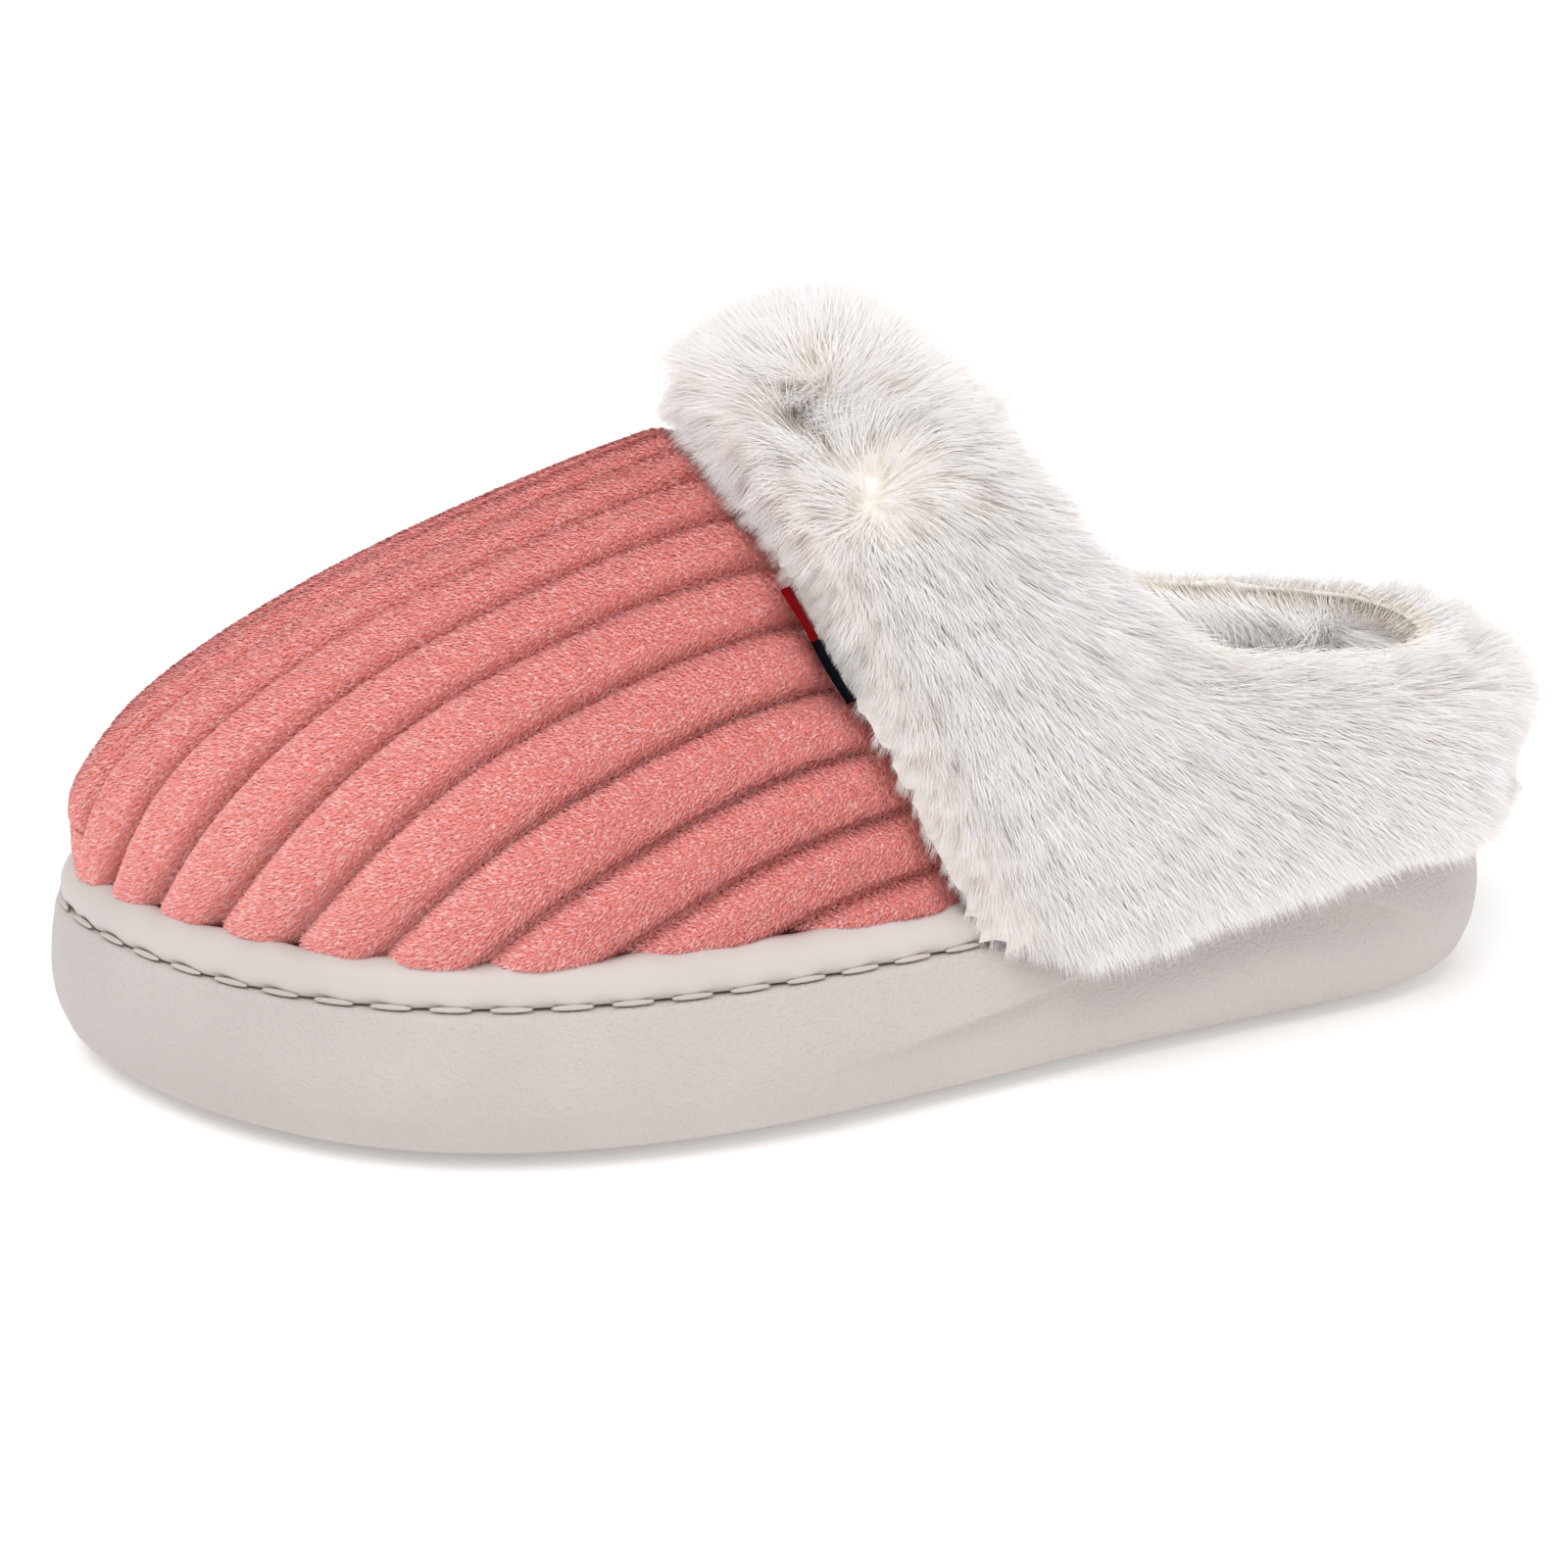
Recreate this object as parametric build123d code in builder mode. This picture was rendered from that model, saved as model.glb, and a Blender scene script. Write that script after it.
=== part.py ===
"""Fluffy house slipper, left foot, as an assembly of separate sewn and moulded pieces.

Frame: millimetres, +X to the toe, +Y to the outer (lateral) side of the foot, +Z up.
The origin is on the ground, under the middle of the sole's length.
"""

from build123d import *
import math
import os

# ---------------------------------------------------------------- driving dimensions
SOLE_LENGTH = 265.0
BALL_OUTER = 57.0  # half width of the sole at the ball, outer side
BALL_INNER = 47.0  # half width of the sole at the ball, inner side
RIM_HEIGHT = 29.0  # top of the sole's wall, along the vamp
HEEL_RIM_HEIGHT = 36.0  # top of the sole's wall, round the heel
RIM_RISE_START = -30.0  # the wall's top rises from here
RIM_RISE_END = -85.0  # to here

BAND_HEIGHT = 7.0  # the band between sole and vamp
BAND_INSET = 3.4  # foot of the band, in from the sole's widest line
BAND_LEAN = 2.8  # how far the band's top leans in from its foot
BAND_THICKNESS = 1.6
POCKET_INSET = 9.0  # wall of the sole's pocket, in from the widest line
POCKET_FLOOR = 24.0
BOARD_THICKNESS = 2.0
SOCK_THICKNESS = 3.0

VAMP_THICKNESS = 11.0  # plush, foam and lining together
PLUSH_THICKNESS = 3.0
VAMP_FOAM_THICKNESS = 4.0
VAMP_REACH = 126.0  # the vamp's toe end, from the origin
VAMP_HALF_WIDTH = 46.0
VAMP_RISE = 77.0  # the vamp's highest point above the platform

COLLAR_LINING_THICKNESS = 8.0
COLLAR_FOAM_THICKNESS = 4.0
COUNTER_THICKNESS = 1.5
COUNTER_FRONT = -80.0  # the heel counter's front edge
COUNTER_TOP = 58.0
COLLAR_TOP_FUR = 13.0  # fur standing above the collar's foam
SEAM_SLOPE = 0.5  # the seam leans forward: x grows by this for each unit of z
SEAM_FOOT_X = -36.5  # where the seam's plane meets the ground

OPENING_CENTRE = (-71.0, -1.0)
OPENING_HALF_LENGTH = 43.0
OPENING_HALF_WIDTH = 20.0

LABEL_LENGTH = 21.0
LABEL_WIDTH = 5.5
LABEL_THICKNESS = 0.8
LABEL_FOLD = 0.3  # rounding of the folded ribbon
LABEL_LEAN = 20.0  # degrees forward from the seam's plane
LABEL_PLACE = 0.26  # the label's middle, as a share of the seam from the outer side
LABEL_GAP = 1.0  # from the seam's plane, and from the vamp, to the label's sewn edge

STITCH_PITCH = 9.6
STITCH_LENGTH = 7.0
STITCH_RADIUS = 0.55
STITCH_END_X = -17.0  # the row of stitches ends here, where the collar covers the band
SEAM_STITCHES = 26
SEAM_STITCH_LENGTH = 5.0
SEAM_STITCH_RADIUS = 0.4

GROOVE_WIDTH = 3.0
GROOVE_DEPTH = 2.0
GROOVE_PITCH = 12.0
GROOVE_INSET = 20.0
FORE_GROOVES = 9
HEEL_GROOVES = 5
FORE_GROOVE_X = 54.0  # middle of the forefoot's grooves
HEEL_GROOVE_X = -86.0  # middle of the heel's grooves

# ---------------------------------------------------------------- derived sizes
HALF_LENGTH = SOLE_LENGTH / 2
PLATFORM_TOP = RIM_HEIGHT + BAND_HEIGHT
FAR = 400.0  # longer than anything in the slipper
SEAM_PLANE = Plane(origin=(SEAM_FOOT_X, 0, 0), x_dir=(0, 1, 0), z_dir=(1, 0, -SEAM_SLOPE))

# ---------------------------------------------------------------- outlines
# The sole's widest line, from the toe tip round the outer side to the heel and back:
# x as a fraction of the half length, y as a fraction of the half width at the ball.
OUTER_SIDE = [(0.955, 0.08), (0.83, 0.48), (0.60, 0.86), (0.31, 1.00), (0.00, 0.93),
              (-0.34, 0.745), (-0.68, 0.60), (-0.915, 0.40)]
INNER_SIDE = [(-1.00, -0.04), (-0.915, -0.54), (-0.68, -0.77), (-0.34, -0.77), (0.00, -0.88),
              (0.31, -1.00), (0.60, -1.00), (0.82, -0.90), (0.955, -0.66), (1.00, -0.28)]

# Sole wall, from the ground up: how far in from the widest line, and how high.
SOLE_WALL = [(10.5, 0.0), (4.2, 3.5), (1.0, 9.0), (0.0, 15.0), (0.6, 22.0), (2.0, RIM_HEIGHT),
             (3.4, HEEL_RIM_HEIGHT)]

# Vamp, from heel to toe: x, inner and outer half widths as fractions, ridge y, rise.
VAMP_STATIONS = [
    (-122.0, -0.32, 0.26, -1.0, 64.0),
    (-110.0, -0.57, 0.50, -1.0, 72.0),
    (-75.0, -0.66, 0.64, -3.0, 76.0),
    (-30.0, -0.72, 0.86, -8.0, VAMP_RISE),
    (10.0, -0.84, 1.03, -10.0, 72.5),
    (45.0, -0.93, 1.09, -10.0, 61.5),
    (75.0, -0.93, 0.95, -11.0, 49.0),
    (98.0, -0.87, 0.60, -13.0, 36.5),
    (113.0, -0.77, 0.26, -14.0, 26.0),
    (121.0, -0.62, 0.01, -14.5, 18.0),
    (125.0, -0.46, -0.15, -14.5, 11.0),
]
VAMP_FULLNESS = 2.3

# Collar's outer fur, from heel to throat: x, inner y, outer y, ridge y, hem height, top height.
COLLAR_STATIONS = [
    (-144.0, -14.0, 10.0, -2.0, 35.0, 49.0),
    (-140.0, -24.0, 20.0, -2.0, 29.0, 58.0),
    (-128.0, -36.0, 32.0, -2.0, 28.0, 67.0),
    (-108.0, -43.0, 40.0, -2.0, 33.0, 72.0),
    (-82.0, -45.0, 44.0, -2.0, 31.0, 76.0),
    (-58.0, -45.0, 48.0, -4.0, 28.0, 84.0),
    (-40.0, -46.0, 51.0, -6.0, 26.0, 104.0),
    (-25.0, -47.0, 53.0, -8.0, 29.0, 121.0),
    (-10.0, -48.0, 54.0, -8.0, 33.0, 130.0),
    (8.0, -49.0, 54.0, -8.0, 36.0, 127.0),
    (18.0, -49.0, 53.0, -8.0, 37.0, 121.0),
    (26.0, -49.0, 52.0, -8.0, 38.0, 110.0),
]
COLLAR_FULLNESS = 2.6
FULL_DROP_RISE = 30.0  # a station at least this tall is lowered by the whole drop


# ---------------------------------------------------------------- shapes shared by the pieces
def sole_points(inset: float) -> list[tuple[float, float]]:
    """The sole's outline, each point moved in along its normal."""
    points = []
    for u, v in OUTER_SIDE + INNER_SIDE:
        points.append(Vector(HALF_LENGTH * u, v * (BALL_OUTER if v > 0 else BALL_INNER)))
    moved = []
    for index, point in enumerate(points):
        along = points[(index + 1) % len(points)] - points[index - 1]
        inward = Vector(-along.Y, along.X).normalized()
        moved.append(point + inward * inset)
    return [(point.X, point.Y) for point in moved]


def sole_section(inset: float, height: float) -> Sketch:
    """A flat slice with the sole's outline."""
    with BuildSketch(Plane.XY.offset(height)) as section:
        with BuildLine():
            Spline(*sole_points(inset), periodic=True)
        make_face()
    return section.sketch


def sole_stack(levels: list[tuple[float, float]]) -> Part:
    """A block with the sole's outline, through levels of inset and height."""
    with BuildPart() as block:
        loft(sections=[sole_section(inset, height) for inset, height in levels])
    return block.part


def arch_section(x: float, sides: tuple[float, float], ridge: float, heights: tuple[float, float],
                 fullness: float) -> Sketch:
    """A slice across the foot: flat base, arched top, fuller with a larger exponent."""
    power = 2 / fullness
    base, top = heights
    steps = 8
    points = []
    for step in range(steps + 1):
        angle = math.pi * step / steps
        reach = math.copysign(abs(math.cos(angle)) ** power, math.cos(angle))
        side = sides[1] - ridge if reach > 0 else ridge - sides[0]
        points.append((ridge + side * reach, base + (top - base) * math.sin(angle) ** power))
    with BuildSketch(Plane.YZ.offset(x)) as section:
        with BuildLine():
            crown = Spline(*points, tangents=[(0, 1), (0, -1)])
            Line(crown @ 1, crown @ 0)
        make_face()
    return section.sketch


def last_block(depth: float) -> Part:
    """The foot's shape under the vamp; depth is measured in from the vamp's surface."""
    along = 1 - depth / VAMP_REACH
    across = 1 - depth / VAMP_HALF_WIDTH
    up = 1 - depth / VAMP_RISE
    half = VAMP_HALF_WIDTH * across
    sections = []
    for x, inner, outer, ridge, rise in VAMP_STATIONS:
        heights = (PLATFORM_TOP, PLATFORM_TOP + rise * up)
        sides = (half * inner, half * outer)
        sections.append(arch_section(x * along, sides, ridge * across, heights, VAMP_FULLNESS))
    with BuildPart() as block:
        loft(sections=sections)
    return block.part


def foot_space(grow: float) -> Part:
    """The space for the foot, grown outward: the last and the upright opening together."""
    with BuildPart() as space:
        add(last_block(VAMP_THICKNESS - grow))
        with BuildSketch(Plane.XY.offset(PLATFORM_TOP)):
            with Locations(OPENING_CENTRE):
                Ellipse(OPENING_HALF_LENGTH + grow, OPENING_HALF_WIDTH + grow)
        extrude(amount=FAR / 4)
    return space.part


def collar_dome(drop: float) -> Part:
    """The collar's outer shape as a closed dome, its top lowered by drop."""
    sections = []
    for x, inner, outer, ridge, hem, top in COLLAR_STATIONS:
        lowered = top - drop * min(1.0, (top - hem) / FULL_DROP_RISE)
        sections.append(arch_section(x, (inner, outer), ridge, (hem, lowered), COLLAR_FULLNESS))
    with BuildPart() as dome:
        loft(sections=sections)
    return dome.part


def behind_seam(body: Part, keep: Keep = Keep.BOTTOM) -> Part:
    """The stretch of a body behind the seam's plane, or in front of it with Keep.TOP."""
    with BuildPart() as stretch:
        add(body)
        split(bisect_by=SEAM_PLANE, keep=keep)
    return stretch.part


def seam_line(depth: float) -> Edge:
    """The seam across the foot, at a depth under the vamp's surface."""
    slice_face = section(last_block(depth), section_by=SEAM_PLANE)
    return slice_face.edges().sort_by(SortBy.LENGTH)[-1]


def shell(outside: Part, inside: Part) -> Part:
    """What is left of a body when another is taken out of it."""
    with BuildPart() as rest:
        add(outside)
        add(inside, mode=Mode.SUBTRACT)
    return rest.part


def common(first: Part, second: Part) -> Part:
    """The space that two bodies share."""
    with BuildPart() as rest:
        add(first)
        add(second, mode=Mode.INTERSECT)
    return rest.part


# ---------------------------------------------------------------- shared bodies
with BuildPart() as above_rim:
    with BuildSketch(Plane.XZ.offset(-FAR / 2)):
        with BuildLine():
            front = Line((FAR / 2, RIM_HEIGHT), (RIM_RISE_START, RIM_HEIGHT))
            back = Line((RIM_RISE_END, HEEL_RIM_HEIGHT), (-FAR / 2, HEEL_RIM_HEIGHT))
            Spline(front @ 1, back @ 0, tangents=[(-1, 0), (-1, 0)])
            Polyline(back @ 1, (-FAR / 2, FAR), (FAR / 2, FAR), front @ 0)
        make_face()
    extrude(amount=FAR)

sole_block = shell(sole_stack(SOLE_WALL), above_rim.part)
platform_block = sole_stack([(BAND_INSET, RIM_HEIGHT), (BAND_INSET + BAND_LEAN, PLATFORM_TOP)])
platform_core = sole_stack([(BAND_INSET + BAND_THICKNESS, RIM_HEIGHT),
                            (BAND_INSET + BAND_LEAN + BAND_THICKNESS, PLATFORM_TOP)])

vamp_outer = last_block(0)
under_plush = last_block(PLUSH_THICKNESS)
under_vamp_foam = last_block(PLUSH_THICKNESS + VAMP_FOAM_THICKNESS)
foot_cavity = last_block(VAMP_THICKNESS)

collar_cap = collar_dome(COLLAR_TOP_FUR)
foot_room = foot_space(0)
lining_room = foot_space(COLLAR_LINING_THICKNESS)
counter_room = foot_space(COLLAR_LINING_THICKNESS + COLLAR_FOAM_THICKNESS - COUNTER_THICKNESS)
foam_room = foot_space(COLLAR_LINING_THICKNESS + COLLAR_FOAM_THICKNESS)

os.makedirs("parts", exist_ok=True)

# ---------------------------------------------------------------- platform stitching
with BuildLine() as stitch_line:
    Spline(*sole_points(BAND_INSET - STITCH_RADIUS), periodic=True)
stitch_path = stitch_line.wire()
stitch_count = round(stitch_path.length / STITCH_PITCH)
with BuildPart() as platform_stitching:
    for index in range(stitch_count):
        place = stitch_path.location_at(index / stitch_count)
        if place.position.X > STITCH_END_X:
            lifted = Location((0, 0, RIM_HEIGHT + STITCH_RADIUS)) * place
            with Locations(lifted):
                Cylinder(STITCH_RADIUS, STITCH_LENGTH)
platform_stitching.part.label = "platform_stitching"
export_step(platform_stitching.part, "parts/platform_stitching.step")

# ---------------------------------------------------------------- outsole
with BuildPart() as outsole:
    add(sole_block)
    add(platform_block, mode=Mode.SUBTRACT)
    with BuildSketch(Plane.XY.offset(POCKET_FLOOR)):
        add(sole_section(POCKET_INSET, 0))
    extrude(amount=RIM_HEIGHT, mode=Mode.SUBTRACT)
    with BuildSketch(Plane.XY):
        for middle, count in ((FORE_GROOVE_X, FORE_GROOVES), (HEEL_GROOVE_X, HEEL_GROOVES)):
            with Locations((middle, 0)):
                with GridLocations(GROOVE_PITCH, 1, count, 1):
                    Rectangle(GROOVE_WIDTH, FAR / 2)
        add(sole_section(GROOVE_INSET, 0), mode=Mode.INTERSECT)
    extrude(amount=GROOVE_DEPTH, mode=Mode.SUBTRACT)
outsole.part.label = "outsole"
export_step(outsole.part, "parts/outsole.step")

# ---------------------------------------------------------------- platform
with BuildPart() as platform_cover:
    add(platform_block)
    add(platform_core, mode=Mode.SUBTRACT)
platform_cover.part.label = "platform_cover"
export_step(platform_cover.part, "parts/platform_cover.step")

with BuildPart() as platform_board:
    with BuildSketch(Plane.XY.offset(POCKET_FLOOR)):
        add(sole_section(POCKET_INSET, 0))
    extrude(amount=BOARD_THICKNESS)
platform_board.part.label = "platform_board"
export_step(platform_board.part, "parts/platform_board.step")

with BuildPart() as platform_foam:
    add(platform_core)
    split(bisect_by=Plane.XY.offset(PLATFORM_TOP - SOCK_THICKNESS), keep=Keep.BOTTOM)
    with BuildSketch(Plane.XY.offset(POCKET_FLOOR + BOARD_THICKNESS)):
        add(sole_section(POCKET_INSET, 0))
    extrude(amount=RIM_HEIGHT - POCKET_FLOOR - BOARD_THICKNESS)
platform_foam.part.label = "platform_foam"
export_step(platform_foam.part, "parts/platform_foam.step")

with BuildPart() as sock_lining:
    add(platform_core)
    split(bisect_by=Plane.XY.offset(PLATFORM_TOP - SOCK_THICKNESS), keep=Keep.TOP)
sock_lining.part.label = "sock_lining"
export_step(sock_lining.part, "parts/sock_lining.step")

# ---------------------------------------------------------------- collar seam thread
seam_curve = seam_line(PLUSH_THICKNESS)
with BuildPart() as collar_seam_thread:
    for index in range(SEAM_STITCHES):
        spot = seam_curve @ ((index + 0.5) / SEAM_STITCHES)
        with Locations(Plane(origin=spot, z_dir=SEAM_PLANE.z_dir)):
            Cylinder(SEAM_STITCH_RADIUS, SEAM_STITCH_LENGTH)
collar_seam_thread.part.label = "collar_seam_thread"
export_step(collar_seam_thread.part, "parts/collar_seam_thread.step")

# ---------------------------------------------------------------- vamp
with BuildPart() as vamp_plush:
    add(behind_seam(shell(vamp_outer, under_plush), Keep.TOP))
    add(collar_seam_thread.part, mode=Mode.SUBTRACT)
vamp_plush.part.label = "vamp_plush"
export_step(vamp_plush.part, "parts/vamp_plush.step")

with BuildPart() as vamp_foam:
    add(behind_seam(shell(under_plush, under_vamp_foam), Keep.TOP))
    add(collar_seam_thread.part, mode=Mode.SUBTRACT)
vamp_foam.part.label = "vamp_foam"
export_step(vamp_foam.part, "parts/vamp_foam.step")

with BuildPart() as vamp_lining:
    add(behind_seam(shell(under_vamp_foam, foot_cavity), Keep.TOP))
vamp_lining.part.label = "vamp_lining"
export_step(vamp_lining.part, "parts/vamp_lining.step")

# ---------------------------------------------------------------- collar
with BuildPart() as collar_lining:
    add(behind_seam(common(shell(lining_room, foot_room), collar_cap)))
    add(collar_seam_thread.part, mode=Mode.SUBTRACT)
collar_lining.part.label = "collar_lining"
export_step(collar_lining.part, "parts/collar_lining.step")

with BuildPart() as heel_counter:
    add(common(shell(foam_room, counter_room), collar_cap))
    split(bisect_by=Plane.YZ.offset(COUNTER_FRONT), keep=Keep.BOTTOM)
    split(bisect_by=Plane.XY.offset(COUNTER_TOP), keep=Keep.BOTTOM)
heel_counter.part.label = "heel_counter"
export_step(heel_counter.part, "parts/heel_counter.step")

with BuildPart() as collar_foam:
    add(behind_seam(common(shell(foam_room, lining_room), collar_cap)))
    add(heel_counter.part, mode=Mode.SUBTRACT)
    add(collar_seam_thread.part, mode=Mode.SUBTRACT)
collar_foam.part.label = "collar_foam"
export_step(collar_foam.part, "parts/collar_foam.step")

with BuildPart() as collar_fur:
    add(behind_seam(collar_dome(0)))
    add(common(foam_room, collar_cap), mode=Mode.SUBTRACT)
    add(foot_room, mode=Mode.SUBTRACT)
    add(sole_block, mode=Mode.SUBTRACT)
    add(platform_block, mode=Mode.SUBTRACT)
    add(collar_seam_thread.part, mode=Mode.SUBTRACT)
collar_fur.part.label = "collar_fur"
export_step(collar_fur.part, "parts/collar_fur.step")

# ---------------------------------------------------------------- side label
label_seam = seam_line(0)
forward = Vector(1, 0, -SEAM_SLOPE).normalized()
run = (label_seam % LABEL_PLACE).normalized()
away = run.cross(forward).normalized()
if away.Z < 0:
    away = -away
lean = math.radians(LABEL_LEAN)
label_root = (label_seam @ LABEL_PLACE) + away * LABEL_GAP + forward * LABEL_GAP
label_stand = away * math.cos(lean) + forward * math.sin(lean)
label_run = away.cross(forward)
label_plane = Plane(origin=label_root, x_dir=label_run, z_dir=label_run.cross(label_stand))
with BuildPart() as side_label:
    with BuildSketch(label_plane):
        Rectangle(LABEL_LENGTH, LABEL_WIDTH, align=(Align.CENTER, Align.MIN))
    extrude(amount=LABEL_THICKNESS / 2, both=True)
    fillet(side_label.edges().filter_by(Axis(label_root, label_run)), radius=LABEL_FOLD)
side_label.part.label = "side_label"
export_step(side_label.part, "parts/side_label.step")
print("label joint: position", label_root, "axis", label_run)
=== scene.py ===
"""Looks of a fluffy house slipper: ribbed plush front, fur collar, banded platform, foam sole."""

import logging
import math
from dataclasses import dataclass, field
from enum import Enum

import bmesh
import bpy
import numpy as np
from mathutils import Matrix, Vector
from mathutils.bvhtree import BVHTree
from mathutils.noise import noise_vector, seed_set


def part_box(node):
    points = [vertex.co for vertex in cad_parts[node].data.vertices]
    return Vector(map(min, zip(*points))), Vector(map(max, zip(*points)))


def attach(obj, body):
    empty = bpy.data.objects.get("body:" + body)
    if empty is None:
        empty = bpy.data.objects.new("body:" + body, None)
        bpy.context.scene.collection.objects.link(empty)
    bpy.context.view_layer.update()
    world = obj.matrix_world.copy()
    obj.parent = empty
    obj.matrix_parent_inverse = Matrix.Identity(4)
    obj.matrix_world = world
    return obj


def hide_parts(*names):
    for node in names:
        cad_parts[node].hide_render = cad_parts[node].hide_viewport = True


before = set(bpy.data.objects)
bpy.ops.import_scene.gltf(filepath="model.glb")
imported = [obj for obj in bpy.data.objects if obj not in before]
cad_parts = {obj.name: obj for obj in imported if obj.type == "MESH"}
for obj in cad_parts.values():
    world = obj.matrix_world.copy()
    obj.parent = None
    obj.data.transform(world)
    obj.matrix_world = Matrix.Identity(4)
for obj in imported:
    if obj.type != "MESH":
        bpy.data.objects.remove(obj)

MM = 0.001
BODY = "slipper"
LABEL_BODY = "label"
RIM_HEIGHT = 29 * MM
HEEL_RIM_HEIGHT = 36 * MM
PLATFORM_TOP = 36 * MM
SEAM_SLOPE = 0.5
SEAM_FOOT_X = -36.5 * MM
LABEL_SPLIT = 0.46

log = logging.getLogger("slipper")


class Kind(Enum):
    """What an attribute or a geometry-nodes value holds."""

    NUMBER = "FLOAT"
    VECTOR = "FLOAT_VECTOR"


# ------------------------------------------------------------------ small maths
def ease(low: float, high: float, value: np.ndarray) -> np.ndarray:
    """A smooth step from 0 to 1.

    Args:
        low: Where the step starts.
        high: Where the step ends; it may be below low.
        value: What is compared.

    Returns:
        0 up to low, 1 from high on, and a smooth curve between.
    """
    t = np.clip((value - low) / (high - low), 0, 1)
    return t * t * (3 - 2 * t)


def smooth_line(xs: list[float], ys: list[float], at: np.ndarray) -> np.ndarray:
    """A smooth curve through points.

    Args:
        xs: Rising places.
        ys: The value at each place.
        at: Places that the curve is read at.

    Returns:
        The curve's values, held constant beyond the ends.
    """
    xs, ys = np.asarray(xs, float), np.asarray(ys, float)
    at = np.clip(at, xs[0], xs[-1])
    slopes = np.gradient(ys, xs)
    i = np.clip(np.searchsorted(xs, at) - 1, 0, len(xs) - 2)
    gap = xs[i + 1] - xs[i]
    t = (at - xs[i]) / gap
    start = (1 + 2 * t) * (1 - t) ** 2 * ys[i] + t * (1 - t) ** 2 * gap * slopes[i]
    return start + t * t * (3 - 2 * t) * ys[i + 1] + t * t * (t - 1) * gap * slopes[i + 1]


def unit(vectors: np.ndarray) -> np.ndarray:
    """Vectors brought to length 1."""
    return vectors / np.maximum(np.linalg.norm(vectors, axis=-1, keepdims=True), 1e-12)


def grid_faces(rows: int, columns: int, round_rows: bool, round_columns: bool) -> list[tuple]:
    """Quads over a grid of points.

    Args:
        rows: Number of rows.
        columns: Points in each row.
        round_rows: Whether the last row joins the first.
        round_columns: Whether each row is a closed ring.

    Returns:
        Four indices for each quad.
    """
    faces = []
    for row in range(rows if round_rows else rows - 1):
        for column in range(columns if round_columns else columns - 1):
            here, above = row * columns, (row + 1) % rows * columns
            beside = (column + 1) % columns
            faces.append((here + column, here + beside, above + beside, above + column))
    return faces


def new_piece(name: str, points: np.ndarray, faces: list[tuple],
              materials: list[bpy.types.Material]) -> bpy.types.Object:
    """A smooth-shaded mesh object at the origin.

    Args:
        name: The piece's name.
        points: Its points, one row each.
        faces: Indices of each face.
        materials: Its material slots.

    Returns:
        The linked object, doubles merged and faces outward.
    """
    mesh = bpy.data.meshes.new(name)
    mesh.from_pydata(np.asarray(points).reshape(-1, 3).tolist(), [], faces)
    tidy(mesh)
    for material in materials:
        mesh.materials.append(material)
    return show(name, mesh)


def tidy(mesh: bpy.types.Mesh) -> None:
    """Merges doubles, turns faces outward and shades them smooth.

    Args:
        mesh: The mesh that is changed.
    """
    work = bmesh.new()
    work.from_mesh(mesh)
    bmesh.ops.remove_doubles(work, verts=work.verts, dist=0.01 * MM)
    bmesh.ops.recalc_face_normals(work, faces=work.faces)
    work.to_mesh(mesh)
    work.free()
    mesh.shade_smooth()


def mesh_from(work: bmesh.types.BMesh, name: str) -> bpy.types.Mesh:
    """Turns work in progress into a mesh and frees it.

    Args:
        work: The work in progress.
        name: The mesh's name.

    Returns:
        The mesh.
    """
    mesh = bpy.data.meshes.new(name)
    work.to_mesh(mesh)
    work.free()
    return mesh


def show(name: str, mesh: bpy.types.Mesh) -> bpy.types.Object:
    """Links a mesh to the scene.

    Args:
        name: The object's name.
        mesh: The mesh.

    Returns:
        The object, at the origin.
    """
    piece = bpy.data.objects.new(name, mesh)
    bpy.context.scene.collection.objects.link(piece)
    return piece


def points_of(mesh: bpy.types.Mesh, key: str = "co") -> np.ndarray:
    """A vector from each of a mesh's points.

    Args:
        mesh: The mesh.
        key: Which vector of the point is read; its place if nothing else is said.

    Returns:
        The vectors, one row each.
    """
    flat = np.empty(len(mesh.vertices) * 3)
    mesh.vertices.foreach_get(key, flat)
    return flat.reshape(-1, 3)


def normals_of(mesh: bpy.types.Mesh) -> np.ndarray:
    """A mesh's point normals, one row each."""
    return points_of(mesh, "normal")


def blurred(mesh: bpy.types.Mesh, values: np.ndarray, steps: int) -> np.ndarray:
    """Averages values over neighbouring points.

    Args:
        mesh: The mesh whose edges make neighbours.
        values: One value, or one vector, for each point.
        steps: How often the average is taken.

    Returns:
        The smoothed values.
    """
    ends = np.empty(len(mesh.edges) * 2, dtype=int)
    mesh.edges.foreach_get("vertices", ends)
    first, second = ends.reshape(-1, 2).T
    degree = np.maximum(np.bincount(ends, minlength=len(values)), 1).reshape(-1, *[1] * (values.ndim - 1))
    for _ in range(steps):
        around = np.zeros_like(values)
        np.add.at(around, first, values[second])
        np.add.at(around, second, values[first])
        values = (values + around / degree) / 2
    return values


def write_points(mesh: bpy.types.Mesh, points: np.ndarray) -> None:
    """Moves a mesh's points."""
    mesh.vertices.foreach_set("co", np.ascontiguousarray(points, float).ravel())
    mesh.update()


def store(mesh: bpy.types.Mesh, name: str, values: np.ndarray) -> None:
    """Writes a number or a vector on each of a mesh's points.

    Args:
        mesh: The mesh.
        name: The attribute's name.
        values: One value, or one row, for each point.
    """
    kind, key = (Kind.VECTOR, "vector") if values.ndim == 2 else (Kind.NUMBER, "value")
    attribute = mesh.attributes.new(name, kind.value, "POINT")
    attribute.data.foreach_set(key, np.ascontiguousarray(values, np.float32).ravel())


def evaluated(piece: bpy.types.Object) -> bpy.types.Mesh:
    """The mesh that a piece's modifiers make."""
    graph = bpy.context.evaluated_depsgraph_get()
    return bpy.data.meshes.new_from_object(piece.evaluated_get(graph), depsgraph=graph)


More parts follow.
